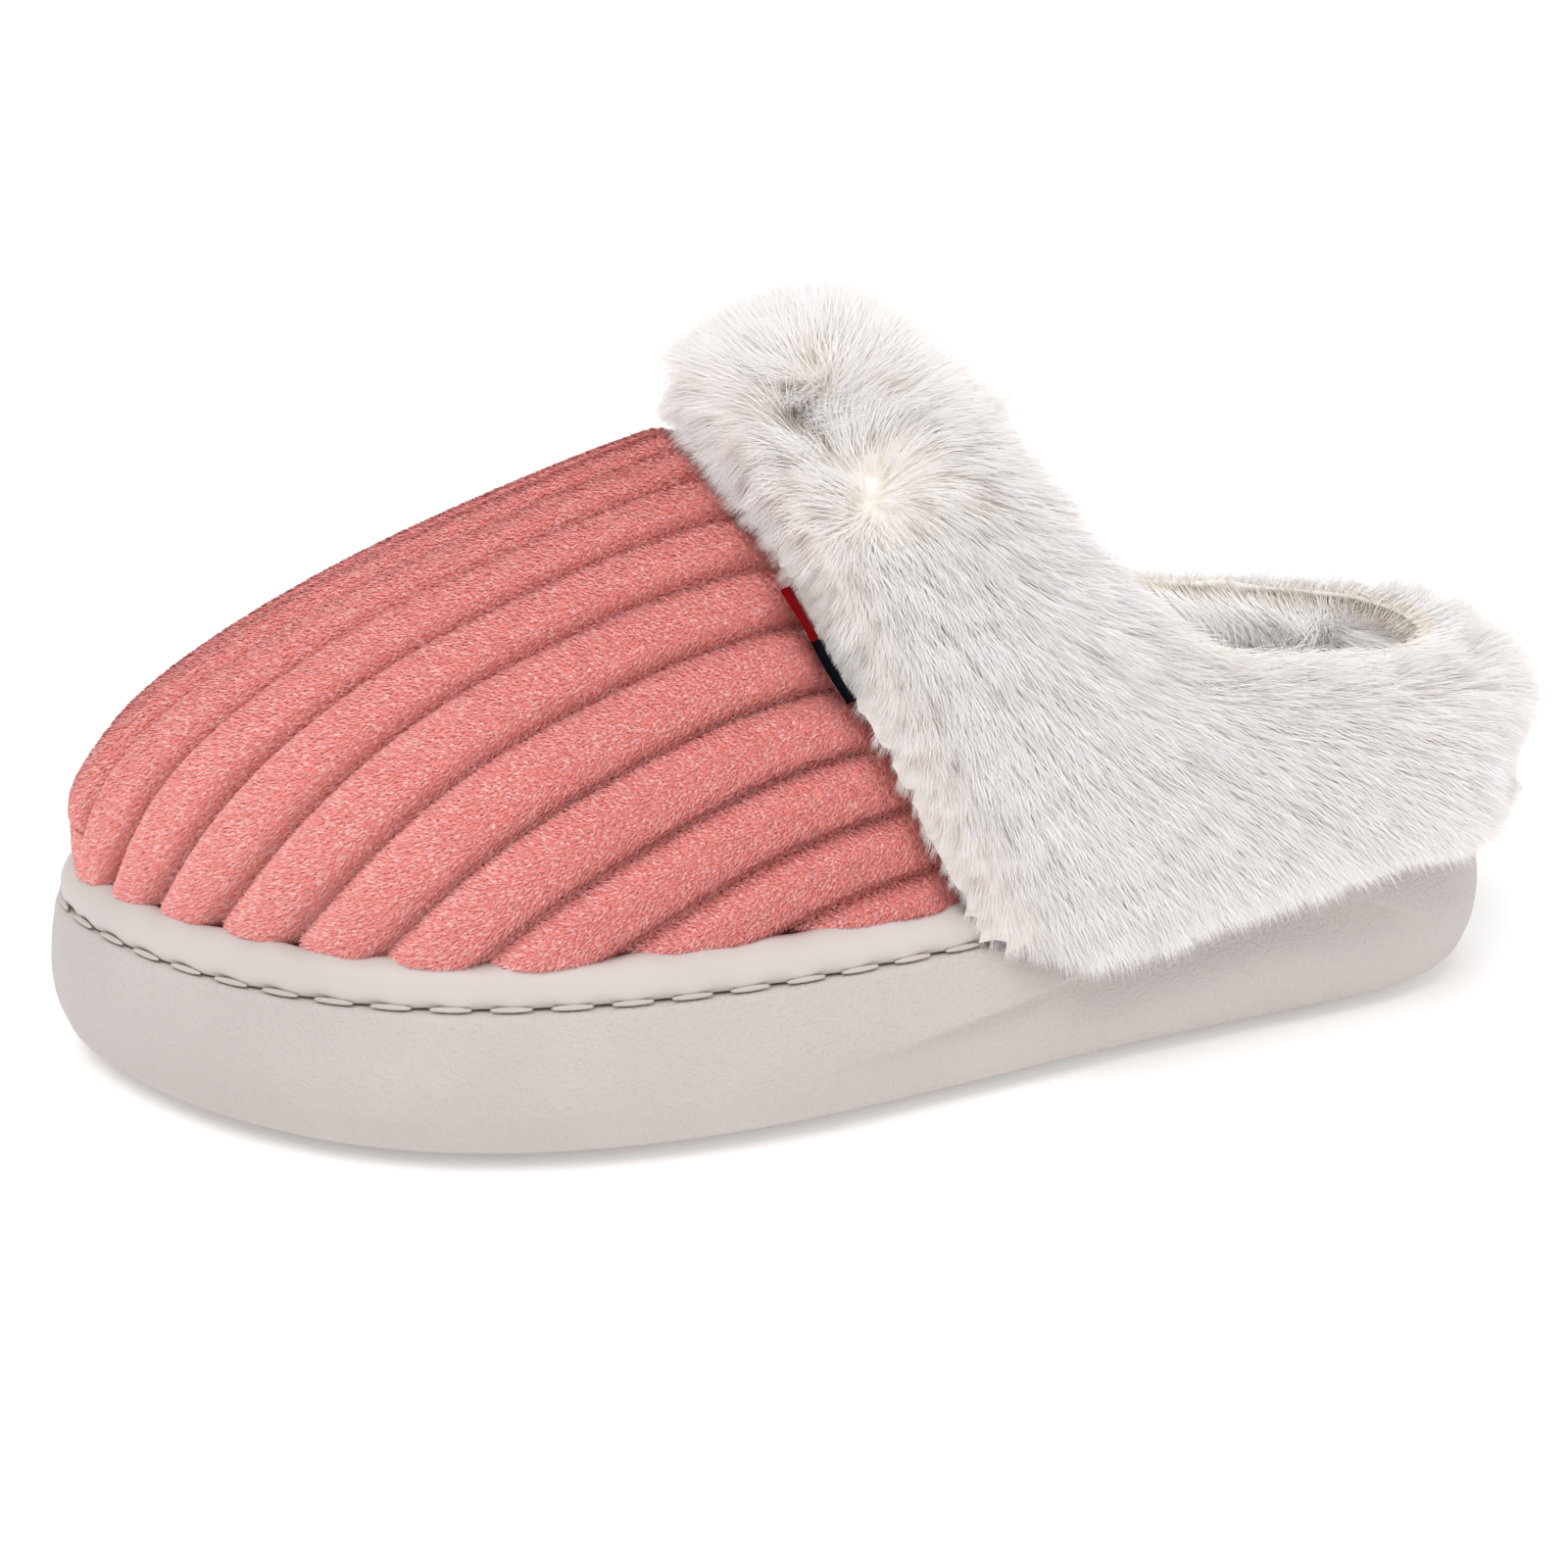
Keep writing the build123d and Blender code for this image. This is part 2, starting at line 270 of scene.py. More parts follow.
def discard(piece: bpy.types.Object) -> None:
    """Removes a helper object."""
    bpy.data.objects.remove(piece, do_unlink=True)


# ------------------------------------------------------------------ reading the frame
class Probe:
    """Rays against the solids of the frame."""

    def __init__(self, *nodes: str) -> None:
        """Gathers the nodes' faces into one search tree."""
        points, faces = [], []
        for node in nodes:
            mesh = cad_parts[node].data
            start = len(points)
            points.extend(vertex.co.copy() for vertex in mesh.vertices)
            faces.extend([start + i for i in polygon.vertices] for polygon in mesh.polygons)
        self.tree = BVHTree.FromPolygons(points, faces)

    def hit(self, origin: tuple, direction: tuple) -> Vector:
        """The first point that a ray meets.

        Args:
            origin: Where the ray starts.
            direction: Where it goes.

        Returns:
            The point; a ray that meets nothing is an error.
        """
        found = self.tree.ray_cast(Vector(origin), Vector(direction).normalized())[0]
        if found is None:
            raise ValueError(f"nothing lies along {direction} from {origin}")
        return found


@dataclass
class Outline:
    """A closed curve seen from above, evenly spaced, running counter-clockwise."""

    points: np.ndarray

    @classmethod
    def sliced(cls, probe: Probe, height: float, count: int) -> "Outline":
        """The outer wall of a solid at a height.

        Args:
            probe: The solid.
            height: Where it is sliced.
            count: Points on the curve.

        Returns:
            The outline, its facets smoothed away.
        """
        far = 0.5
        harmonics = 30
        ring = []
        for angle in np.linspace(0, 2 * math.pi, 1440, endpoint=False):
            out = (math.cos(angle), math.sin(angle))
            spot = probe.hit((out[0] * far, out[1] * far, height), (-out[0], -out[1], 0))
            ring.append(complex(spot.x, spot.y))
        waves = np.fft.fft(ring)
        waves[harmonics:-harmonics] = 0
        fine = np.fft.ifft(waves)
        steps = np.abs(np.diff(np.append(fine, fine[0])))
        along = np.concatenate([[0], np.cumsum(steps)])
        wanted = np.linspace(0, along[-1], count, endpoint=False)
        closed = np.append(fine, fine[0])
        x = np.interp(wanted, along, closed.real)
        y = np.interp(wanted, along, closed.imag)
        return cls(np.stack([x, y], 1))

    @property
    def inward(self) -> np.ndarray:
        """The unit normal at each point, into the shape."""
        along = np.roll(self.points, -1, 0) - np.roll(self.points, 1, 0)
        return unit(np.stack([-along[:, 1], along[:, 0]], 1))

    @property
    def travel(self) -> np.ndarray:
        """The distance along the curve to each point."""
        steps = np.linalg.norm(np.diff(self.points, axis=0), axis=1)
        return np.concatenate([[0], np.cumsum(steps)])

    def ring(self, inset: np.ndarray, height: np.ndarray) -> np.ndarray:
        """The curve moved in by inset and lifted to a height, either of them one or many."""
        flat = self.points + self.inward * np.broadcast_to(inset, len(self.points))[:, None]
        return np.column_stack([flat, np.broadcast_to(height, len(self.points))])


# ------------------------------------------------------------------ finishes
@dataclass(frozen=True)
class Finish:
    """A plain finish, and the base of the patterned ones."""

    name: str
    colour: tuple[float, float, float]
    roughness: float = 0.8
    sheen: float = 0.0
    gloss: float = 0.25

    def shader(self) -> tuple[bpy.types.Material, bpy.types.NodeTree, bpy.types.Node]:
        """A material with its colour, roughness and sheen set.

        Returns:
            The material, its node tree and its shader node.
        """
        material = bpy.data.materials.new(self.name)
        material.use_nodes = True
        tree = material.node_tree
        surface = tree.nodes["Principled BSDF"]
        surface.inputs["Base Color"].default_value = (*self.colour, 1)
        surface.inputs["Roughness"].default_value = self.roughness
        surface.inputs["Sheen Weight"].default_value = self.sheen
        surface.inputs["Sheen Roughness"].default_value = 0.5
        surface.inputs["Specular IOR Level"].default_value = self.gloss
        return material, tree, surface

    def make(self) -> bpy.types.Material:
        """The finished material."""
        return self.shader()[0]


def noise(tree: bpy.types.NodeTree, per_metre: float, detail: float = 3.0,
          stretch: tuple = (1, 1, 1)) -> bpy.types.NodeSocket:
    """A noise pattern on object coordinates.

    Args:
        tree: The material's nodes.
        per_metre: How fine the pattern is.
        detail: Octaves of finer noise.
        stretch: How the pattern is squeezed along each axis.

    Returns:
        The pattern's value socket.
    """
    place = tree.nodes.new("ShaderNodeTexCoord")
    turn = tree.nodes.new("ShaderNodeMapping")
    turn.inputs["Scale"].default_value = stretch
    pattern = tree.nodes.new("ShaderNodeTexNoise")
    pattern.inputs["Scale"].default_value = per_metre
    pattern.inputs["Detail"].default_value = detail
    tree.links.new(place.outputs["Object"], turn.inputs["Vector"])
    tree.links.new(turn.outputs["Vector"], pattern.inputs["Vector"])
    return pattern.outputs["Fac"]


def ramp(tree: bpy.types.NodeTree, value: bpy.types.NodeSocket, low: tuple, high: tuple,
         span: tuple[float, float] = (0.35, 0.65)) -> bpy.types.NodeSocket:
    """A blend of two colours that follows a value.

    Args:
        tree: The material's nodes.
        value: What the blend follows.
        low: Colour at and below the span's start.
        high: Colour at and above its end.
        span: Where the blend runs.

    Returns:
        The colour socket.
    """
    blend = tree.nodes.new("ShaderNodeValToRGB")
    blend.color_ramp.elements[0].position = span[0]
    blend.color_ramp.elements[0].color = (*low, 1)
    blend.color_ramp.elements[1].position = span[1]
    blend.color_ramp.elements[1].color = (*high, 1)
    tree.links.new(value, blend.inputs["Fac"])
    return blend.outputs["Color"]


def emboss(tree: bpy.types.NodeTree, height: bpy.types.NodeSocket, surface: bpy.types.Node,
           depth: float, strength: float = 1.0) -> None:
    """Bump from a height pattern.

    Args:
        tree: The material's nodes.
        height: The pattern.
        surface: The shader that gets the bump.
        depth: Height of the pattern in metres.
        strength: Share of the bump that shows.
    """
    bump = tree.nodes.new("ShaderNodeBump")
    bump.inputs["Distance"].default_value = depth
    bump.inputs["Strength"].default_value = strength
    if surface.inputs["Normal"].is_linked:
        tree.links.new(surface.inputs["Normal"].links[0].from_socket, bump.inputs["Normal"])
    tree.links.new(height, bump.inputs["Height"])
    tree.links.new(bump.outputs["Normal"], surface.inputs["Normal"])


def shade(colour: tuple[float, float, float], factor: float) -> tuple[float, float, float]:
    """A colour made darker or lighter."""
    return tuple(min(1.0, channel * factor) for channel in colour)


@dataclass(frozen=True)
class Grained(Finish):
    """A smooth skin with a fine grain and a slight unevenness of colour."""

    grain_per_metre: float = 2600.0
    grain_depth: float = 0.05 * MM
    mottle: float = 0.05

    def make(self) -> bpy.types.Material:
        """The finished material."""
        material, tree, surface = self.shader()
        tint = ramp(tree, noise(tree, 45, 4), shade(self.colour, 1 - self.mottle),
                    shade(self.colour, 1 + self.mottle), (0.3, 0.7))
        tree.links.new(tint, surface.inputs["Base Color"])
        rough = tree.nodes.new("ShaderNodeMapRange")
        rough.inputs["To Min"].default_value = self.roughness - 0.08
        rough.inputs["To Max"].default_value = self.roughness + 0.08
        tree.links.new(noise(tree, 320, 2), rough.inputs["Value"])
        tree.links.new(rough.outputs["Result"], surface.inputs["Roughness"])
        emboss(tree, noise(tree, self.grain_per_metre, 2), surface, self.grain_depth)
        emboss(tree, noise(tree, 180, 2), surface, 0.12 * MM, 0.5)
        return material


@dataclass(frozen=True)
class Corduroy(Finish):
    """The ground of a ribbed plush: painted shade darkens it in the grooves, mottled on the ribs."""

    # Painted shade: a dark red-brown laid into the grooves, where shadow falls between the ribs.
    groove_shade_colour: tuple[float, float, float] = (0.42, 0.10, 0.085)

    def make(self) -> bpy.types.Material:
        """The finished material."""
        material, tree, surface = self.shader()
        ribs = ramp(tree, noise(tree, 900, 3), shade(self.colour, 0.78), shade(self.colour, 1.1))
        # Painted shade: the groove attribute blends the dark groove colour in, strongest at the bottom of
        # each groove.
        mask = tree.nodes.new("ShaderNodeAttribute")
        mask.attribute_name = "groove"
        blend = tree.nodes.new("ShaderNodeMix")
        blend.data_type = "RGBA"
        blend.inputs[7].default_value = (*self.groove_shade_colour, 1)
        tree.links.new(mask.outputs["Fac"], blend.inputs[0])
        tree.links.new(ribs, blend.inputs[6])
        tree.links.new(blend.outputs[2], surface.inputs["Base Color"])
        emboss(tree, noise(tree, 1100, 3), surface, 0.5 * MM)
        return material


@dataclass(frozen=True)
class Backing(Finish):
    """Cloth under a pile, streaked and mottled."""

    deep: tuple[float, float, float] = (0.6, 0.55, 0.47)

    def make(self) -> bpy.types.Material:
        """The finished material."""
        material, tree, surface = self.shader()
        tint = ramp(tree, noise(tree, 260, 4, (0.4, 1, 1)), self.deep, self.colour, (0.3, 0.6))
        tree.links.new(tint, surface.inputs["Base Color"])
        emboss(tree, noise(tree, 900, 3, (0.3, 1, 1)), surface, 0.6 * MM)
        return material


@dataclass(frozen=True)
class Woven(Finish):
    """A ribbon's weave, on its own unfolded coordinates."""

    threads: float = 60.0

    def make(self) -> bpy.types.Material:
        """The finished material."""
        material, tree, surface = self.shader()
        place = tree.nodes.new("ShaderNodeUVMap")
        place.uv_map = "ribbon"
        heights = []
        for direction in ("X", "Y"):
            wave = tree.nodes.new("ShaderNodeTexWave")
            wave.bands_direction = direction
            wave.inputs["Scale"].default_value = self.threads
            wave.inputs["Distortion"].default_value = 0.4
            tree.links.new(place.outputs["UV"], wave.inputs["Vector"])
            heights.append(wave.outputs["Fac"])
        both = tree.nodes.new("ShaderNodeMath")
        both.operation = "MAXIMUM"
        tree.links.new(heights[0], both.inputs[0])
        tree.links.new(heights[1], both.inputs[1])
        tint = ramp(tree, both.outputs["Value"], shade(self.colour, 0.55), self.colour, (0.2, 0.8))
        tree.links.new(tint, surface.inputs["Base Color"])
        emboss(tree, both.outputs["Value"], surface, 0.12 * MM)
        return material


SOLE_FOAM = Grained("sole_foam", (0.60, 0.545, 0.525), 0.58, 0.05, 0.25, 1500.0, 0.4 * MM, 0.03)
BAND_SKIN = Grained("band_skin", (0.64, 0.585, 0.56), 0.48, 0.03, 0.3, 900.0, 0.04 * MM, 0.03)
BAND_THREAD = Grained("band_thread", (0.58, 0.525, 0.50), 0.7, 0.2, 0.2, 3500.0)
PLUSH_GROUND = Corduroy("plush_ground", (0.80, 0.27, 0.245), 0.9, 0.15, 0.1)
# Painted shade: a darker pink for the roots of the plush pile, where shade falls between the tufts.
PLUSH_SHADED_ROOT = Finish("plush_shaded_root", (0.72, 0.20, 0.18), 0.85, 0.1)
PLUSH_TIP = Finish("plush_tip", (0.94, 0.345, 0.32), 0.8, 0.35)
# Painted highlight: a pale, lit copy of the tip pink, laid on a random share of the plush tips.
PLUSH_HIGHLIGHT_TIP = Finish("plush_highlight_tip", (1.0, 0.56, 0.54), 0.75, 0.4)
FUR_GROUND = Backing("fur_ground", (0.94, 0.91, 0.88), 0.95, 0.1, 0.1, (0.86, 0.82, 0.77))
# Painted shade: a beige on the lower part of each fur and fleece hair, where shade falls deep in the pile.
FUR_SHADED_ROOT = Finish("fur_shaded_root", (0.96, 0.90, 0.83), 0.9, 0.1)
FUR_TIP = Finish("fur_tip", (0.99, 0.965, 0.96), 0.85, 0.3)
FUR_CREAM = Finish("fur_cream", (0.965, 0.92, 0.89), 0.85, 0.3)
FLEECE = Backing("fleece", (0.93, 0.89, 0.86), 0.95, 0.1, 0.1, (0.84, 0.80, 0.75))
PADDING = Grained("padding_foam", (0.78, 0.72, 0.55), 0.95, 0.0, 0.2, 700.0, 0.4 * MM)
BOARD = Grained("fibre_board", (0.30, 0.22, 0.13), 0.85, 0.0, 0.2, 1500.0, 0.08 * MM)
SEAM_THREAD = Grained("seam_thread", (0.75, 0.25, 0.22), 0.7, 0.1, 0.2, 3000.0)
LABEL_RED = Woven("label_red", (0.33, 0.003, 0.006), 0.85, 0.0, 0.04)
LABEL_NAVY = Woven("label_navy", (0.003, 0.004, 0.010), 0.85, 0.0, 0.04)


# ------------------------------------------------------------------ geometry nodes
class Recipe:
    """A geometry-nodes tree under construction, with named inputs."""

    def __init__(self, name: str, inputs: dict[str, str]) -> None:
        """Starts a tree.

        Args:
            name: The tree's name.
            inputs: Each extra input's name and socket type.
        """
        self.tree = bpy.data.node_groups.new(name, "GeometryNodeTree")
        face = self.tree.interface
        face.new_socket("Geometry", in_out="INPUT", socket_type="NodeSocketGeometry")
        for label, kind in inputs.items():
            face.new_socket(label, in_out="INPUT", socket_type=kind)
        face.new_socket("Geometry", in_out="OUTPUT", socket_type="NodeSocketGeometry")
        self.start = self.tree.nodes.new("NodeGroupInput")
        self.end = self.tree.nodes.new("NodeGroupOutput")

    def given(self, label: str) -> bpy.types.NodeSocket:
        """The tree's own input."""
        return self.start.outputs[label]

    def node(self, kind: str, inputs: dict | None = None, **settings) -> bpy.types.Node:
        """Adds a node.

        Args:
            kind: The node's type.
            inputs: A value or a socket for each input, under its name or its place.
            **settings: The node's own properties.

        Returns:
            The node.
        """
        node = self.tree.nodes.new(kind)
        for key, value in settings.items():
            setattr(node, key, value)
        for label, value in (inputs or {}).items():
            by_name = (s for s in node.inputs if s.name == label and s.enabled)
            socket = node.inputs[label] if isinstance(label, int) else next(by_name)
            if isinstance(value, bpy.types.NodeSocket):
                self.tree.links.new(value, socket)
            else:
                socket.default_value = value
        return node

    def attribute(self, name: str, kind: Kind = Kind.NUMBER) -> bpy.types.NodeSocket:
        """Reads a named attribute of the mesh."""
        reader = self.node("GeometryNodeInputNamedAttribute", {"Name": name}, data_type=kind.value)
        return out(reader, "Attribute")

    def random(self, kind: Kind, low: object, high: object, seed: object) -> bpy.types.NodeSocket:
        """A random value for each element."""
        maker = self.node("FunctionNodeRandomValue", {"Min": low, "Max": high, "Seed": seed},
                          data_type=kind.value)
        return out(maker, "Value")

    def finish(self, geometry: bpy.types.NodeSocket) -> bpy.types.NodeTree:
        """Joins the result to the tree's output."""
        self.tree.links.new(geometry, self.end.inputs["Geometry"])
        return self.tree


def out(node: bpy.types.Node, label: str) -> bpy.types.NodeSocket:
    """A node's output in use under that name."""
    return next(s for s in node.outputs if s.name == label and s.enabled)


def grow(host: bpy.types.Object, tree: bpy.types.NodeTree, values: dict, name: str) -> bpy.types.Object:
    """Runs a geometry-nodes tree on a piece and keeps the result as a plain mesh.

    Args:
        host: The piece that the tree reads.
        tree: The tree.
        values: The value of each named input.
        name: Name of the new piece.

    Returns:
        The new piece.
    """
    modifier = host.modifiers.new("grow", "NODES")
    modifier.node_group = tree
    for item in tree.interface.items_tree:
        if item.name in values:
            modifier[item.identifier] = values[item.name]
    mesh = evaluated(host)
    host.modifiers.remove(modifier)
    mesh.name = name
    return show(name, mesh)


def pile_recipe() -> bpy.types.NodeTree:
    """Tufts over a surface, laid along its flow attribute.

    Returns:
        The tree. It reads the point attributes flow, reach, stand and cover.
    """
    recipe = Recipe("pile", {"Tuft": "NodeSocketObject", "Density": "NodeSocketFloat",
                             "Seed": "NodeSocketInt", "Shortest": "NodeSocketFloat",
                             "Spread": "NodeSocketVector", "Second Share": "NodeSocketFloat",
                             "Root": "NodeSocketMaterial", "Tip": "NodeSocketMaterial",
                             "Second Tip": "NodeSocketMaterial"})
    seed = recipe.given("Seed")
    share = recipe.node("ShaderNodeMath", {0: recipe.given("Density"), 1: recipe.attribute("cover")},
                        operation="MULTIPLY")
    points = recipe.node("GeometryNodeDistributePointsOnFaces",
                         {"Mesh": recipe.given("Geometry"), "Density": share.outputs[0], "Seed": seed})
    stand = recipe.node("FunctionNodeAxesToRotation",
                        {"Primary Axis": out(points, "Normal"),
                         "Secondary Axis": recipe.attribute("flow", Kind.VECTOR)},
                        primary_axis="Z", secondary_axis="X")
    least = recipe.node("ShaderNodeVectorMath", {0: recipe.given("Spread"), "Scale": -1.0},
                        operation="SCALE")
    sway = recipe.random(Kind.VECTOR, out(least, "Vector"), recipe.given("Spread"), seed)
    raised = recipe.node("ShaderNodeCombineXYZ", {"Y": recipe.attribute("stand")})
    lean = recipe.node("ShaderNodeVectorMath", {0: sway, 1: raised.outputs["Vector"]},
                       operation="SUBTRACT")
    angles = recipe.node("FunctionNodeEulerToRotation", {"Euler": out(lean, "Vector")})
    turn = recipe.node("FunctionNodeRotateRotation",
                       {"Rotation": out(stand, "Rotation"), "Rotate By": out(angles, "Rotation")},
                       rotation_space="LOCAL")
    evenness = recipe.random(Kind.NUMBER, recipe.given("Shortest"), 1.0, seed)
    size = recipe.node("ShaderNodeMath", {0: recipe.attribute("reach"), 1: evenness},
                       operation="MULTIPLY")
    tuft = recipe.node("GeometryNodeObjectInfo", {"Object": recipe.given("Tuft")})
    placed = recipe.node("GeometryNodeInstanceOnPoints",
                         {"Points": out(points, "Points"), "Instance": out(tuft, "Geometry"),
                          "Rotation": out(turn, "Rotation"), "Scale": size.outputs[0]})
    kept = recipe.node("GeometryNodeStoreNamedAttribute",
                       {"Geometry": out(placed, "Instances"), "Name": "shade",
                        "Value": recipe.random(Kind.NUMBER, 0.0, 1.0, 7)},
                       data_type="FLOAT", domain="INSTANCE")
    real = recipe.node("GeometryNodeRealizeInstances", {"Geometry": out(kept, "Geometry")})
    base = recipe.node("GeometryNodeSetMaterial",
                       {"Geometry": out(real, "Geometry"), "Material": recipe.given("Root")})
    is_tip = recipe.node("FunctionNodeCompare",
                         {"A": recipe.attribute("tip"), "B": 0.5}, operation="GREATER_THAN")
    tips = recipe.node("GeometryNodeSetMaterial",
                       {"Geometry": out(base, "Geometry"), "Selection": out(is_tip, "Result"),
                        "Material": recipe.given("Tip")})
    is_second = recipe.node("FunctionNodeCompare",
                            {"A": recipe.attribute("shade"), "B": recipe.given("Second Share")},
                            operation="LESS_THAN")
    both = recipe.node("FunctionNodeBooleanMath", {0: out(is_tip, "Result"), 1: out(is_second, "Result")},
                       operation="AND")
    second = recipe.node("GeometryNodeSetMaterial",
                         {"Geometry": out(tips, "Geometry"), "Selection": both.outputs[0],
                          "Material": recipe.given("Second Tip")})
    return recipe.finish(out(second, "Geometry"))


def stitch_recipe() -> bpy.types.NodeTree:
    """Long stitches at an even pitch along a curve.

    Returns:
        The tree.
    """
    recipe = Recipe("stitches", {"Pitch": "NodeSocketFloat", "Size": "NodeSocketVector",
                                 "Material": "NodeSocketMaterial"})
    spots = recipe.node("GeometryNodeCurveToPoints",
                        {"Curve": recipe.given("Geometry"), "Length": recipe.given("Pitch")},
                        mode="LENGTH")
    bead = recipe.node("GeometryNodeMeshUVSphere", {"Segments": 8, "Rings": 6, "Radius": 0.5})
    placed = recipe.node("GeometryNodeInstanceOnPoints",
                         {"Points": out(spots, "Points"), "Instance": out(bead, "Mesh"),
                          "Rotation": out(spots, "Rotation"), "Scale": recipe.given("Size")})
    real = recipe.node("GeometryNodeRealizeInstances", {"Geometry": out(placed, "Instances")})
    soft = recipe.node("GeometryNodeSetShadeSmooth", {"Geometry": out(real, "Geometry")})
    dressed = recipe.node("GeometryNodeSetMaterial",
                          {"Geometry": out(soft, "Geometry"), "Material": recipe.given("Material")})
    return recipe.finish(out(dressed, "Geometry"))


@dataclass(frozen=True)
class Tuft:
    """A bunch of fine blades, one unit long, rooted at the origin and leaning to +X."""

    name: str
    blades: int
    segments: int
    width: float
    patch: float
    gather: float
    start_angle: float
    end_angle: float
    curl: float
    seed: int

    def build(self) -> bpy.types.Object:
        """The tuft as a hidden helper object.

        Returns:
            The object; its faces carry a tip attribute, 1 towards the ends.
        """
        dice = np.random.default_rng(self.seed)
        points, faces, tips = [], [], []
        for _ in range(self.blades):
            root = dice.uniform(-self.patch, self.patch, 2)
            yaw = dice.uniform(-self.curl, self.curl)
            reach = dice.uniform(0.8, 1.0)
            across = np.array([-math.sin(yaw), math.cos(yaw), 0]) * self.width / 2
            spot = np.array([*root, 0.0])
            for step in range(self.segments + 1):
                share = step / self.segments
                if step:
                    angle = math.radians(self.start_angle + (self.end_angle - self.start_angle) * share)
                    ahead = np.array([math.cos(angle) * math.cos(yaw), math.cos(angle) * math.sin(yaw),
                                      math.sin(angle)])
                    spot = spot + ahead * reach / self.segments
                    spot[:2] -= root * self.gather / self.segments
                if step < self.segments:
                    taper = 1 - 0.75 * share ** 2
                    points += [spot - across * taper, spot + across * taper]
                else:
                    points.append(spot)
                if step:
                    last = len(points) - 1
                    closing = step == self.segments
                    faces.append((last - 2, last - 1, last) if closing
                                 else (last - 3, last - 2, last, last - 1))
                    tips.append(1.0 if share > 0.45 or self.segments == 1 else 0.0)
        mesh = bpy.data.meshes.new(self.name)
        mesh.from_pydata([tuple(point) for point in points], [], faces)
        mesh.shade_smooth()
        mesh.attributes.new("tip", "FLOAT", "FACE").data.foreach_set("value", tips)
        helper = show(self.name, mesh)
        helper.hide_render = True
        return helper


@dataclass(frozen=True)
class Pile:
    """A pile that is grown on a piece."""

    tuft: Tuft
    density: float
    spread: tuple[float, float, float]
    root: Finish
    tip: Finish
    second: Finish
    second_share: float = 0.35
    shortest: float = 0.7

    def cover(self, host: bpy.types.Object, names: list[str], slot: str) -> list[bpy.types.Object]:
        """Grows the pile, split evenly over pieces with their own seeds.

        Args:
            host: The piece with flow, reach and cover attributes.
            names: Name of each piece of pile.
            slot: Not used; meant as the material slot that it stands for.

        Returns:
            The pieces.
        """
        helper = self.tuft.build()
        tree = pile_recipe()
        looks = [finish.make() for finish in (self.root, self.tip, self.second)]
        pieces = []
        for index, name in enumerate(names):
            values = {"Tuft": helper, "Density": self.density / len(names), "Seed": 11 + index,
                      "Shortest": self.shortest, "Spread": [math.radians(a) for a in self.spread],
                      "Second Share": self.second_share,
                      "Root": looks[0], "Tip": looks[1], "Second Tip": looks[2]}
            piece = grow(host, tree, values, name)
            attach(piece, BODY)
            log.info("%s: %d faces", name, len(piece.data.polygons))
            pieces.append(piece)
        discard(helper)
        return pieces


PLUSH_TUFT = Tuft("plush_tuft", 2, 1, 0.55, 0.3, 0.0, 40, 40, 0.5, 3)
FUR_TUFT = Tuft("fur_tuft", 9, 3, 0.012, 0.11, 0.1, 70, 20, 0.35, 5)
FLEECE_TUFT = Tuft("fleece_tuft", 5, 2, 0.11, 0.3, 0.3, 75, 10, 1.4, 9)

PLUSH_PILE = Pile(PLUSH_TUFT, 7.0e6, (8, 8, 18), PLUSH_SHADED_ROOT, PLUSH_TIP, PLUSH_HIGHLIGHT_TIP, 0.3, 0.7)
FUR_PILE = Pile(FUR_TUFT, 0.76e6, (5, 6, 10), FUR_SHADED_ROOT, FUR_TIP, FUR_CREAM, 0.25, 0.75)
LINING_PILE = Pile(FUR_TUFT, 0.42e6, (7, 9, 16), FUR_SHADED_ROOT, FUR_CREAM, FUR_TIP, 0.5, 0.7)
FLEECE_PILE = Pile(FLEECE_TUFT, 0.22e6, (14, 14, 60), FUR_SHADED_ROOT, FUR_CREAM, FUR_TIP, 0.3, 0.6)


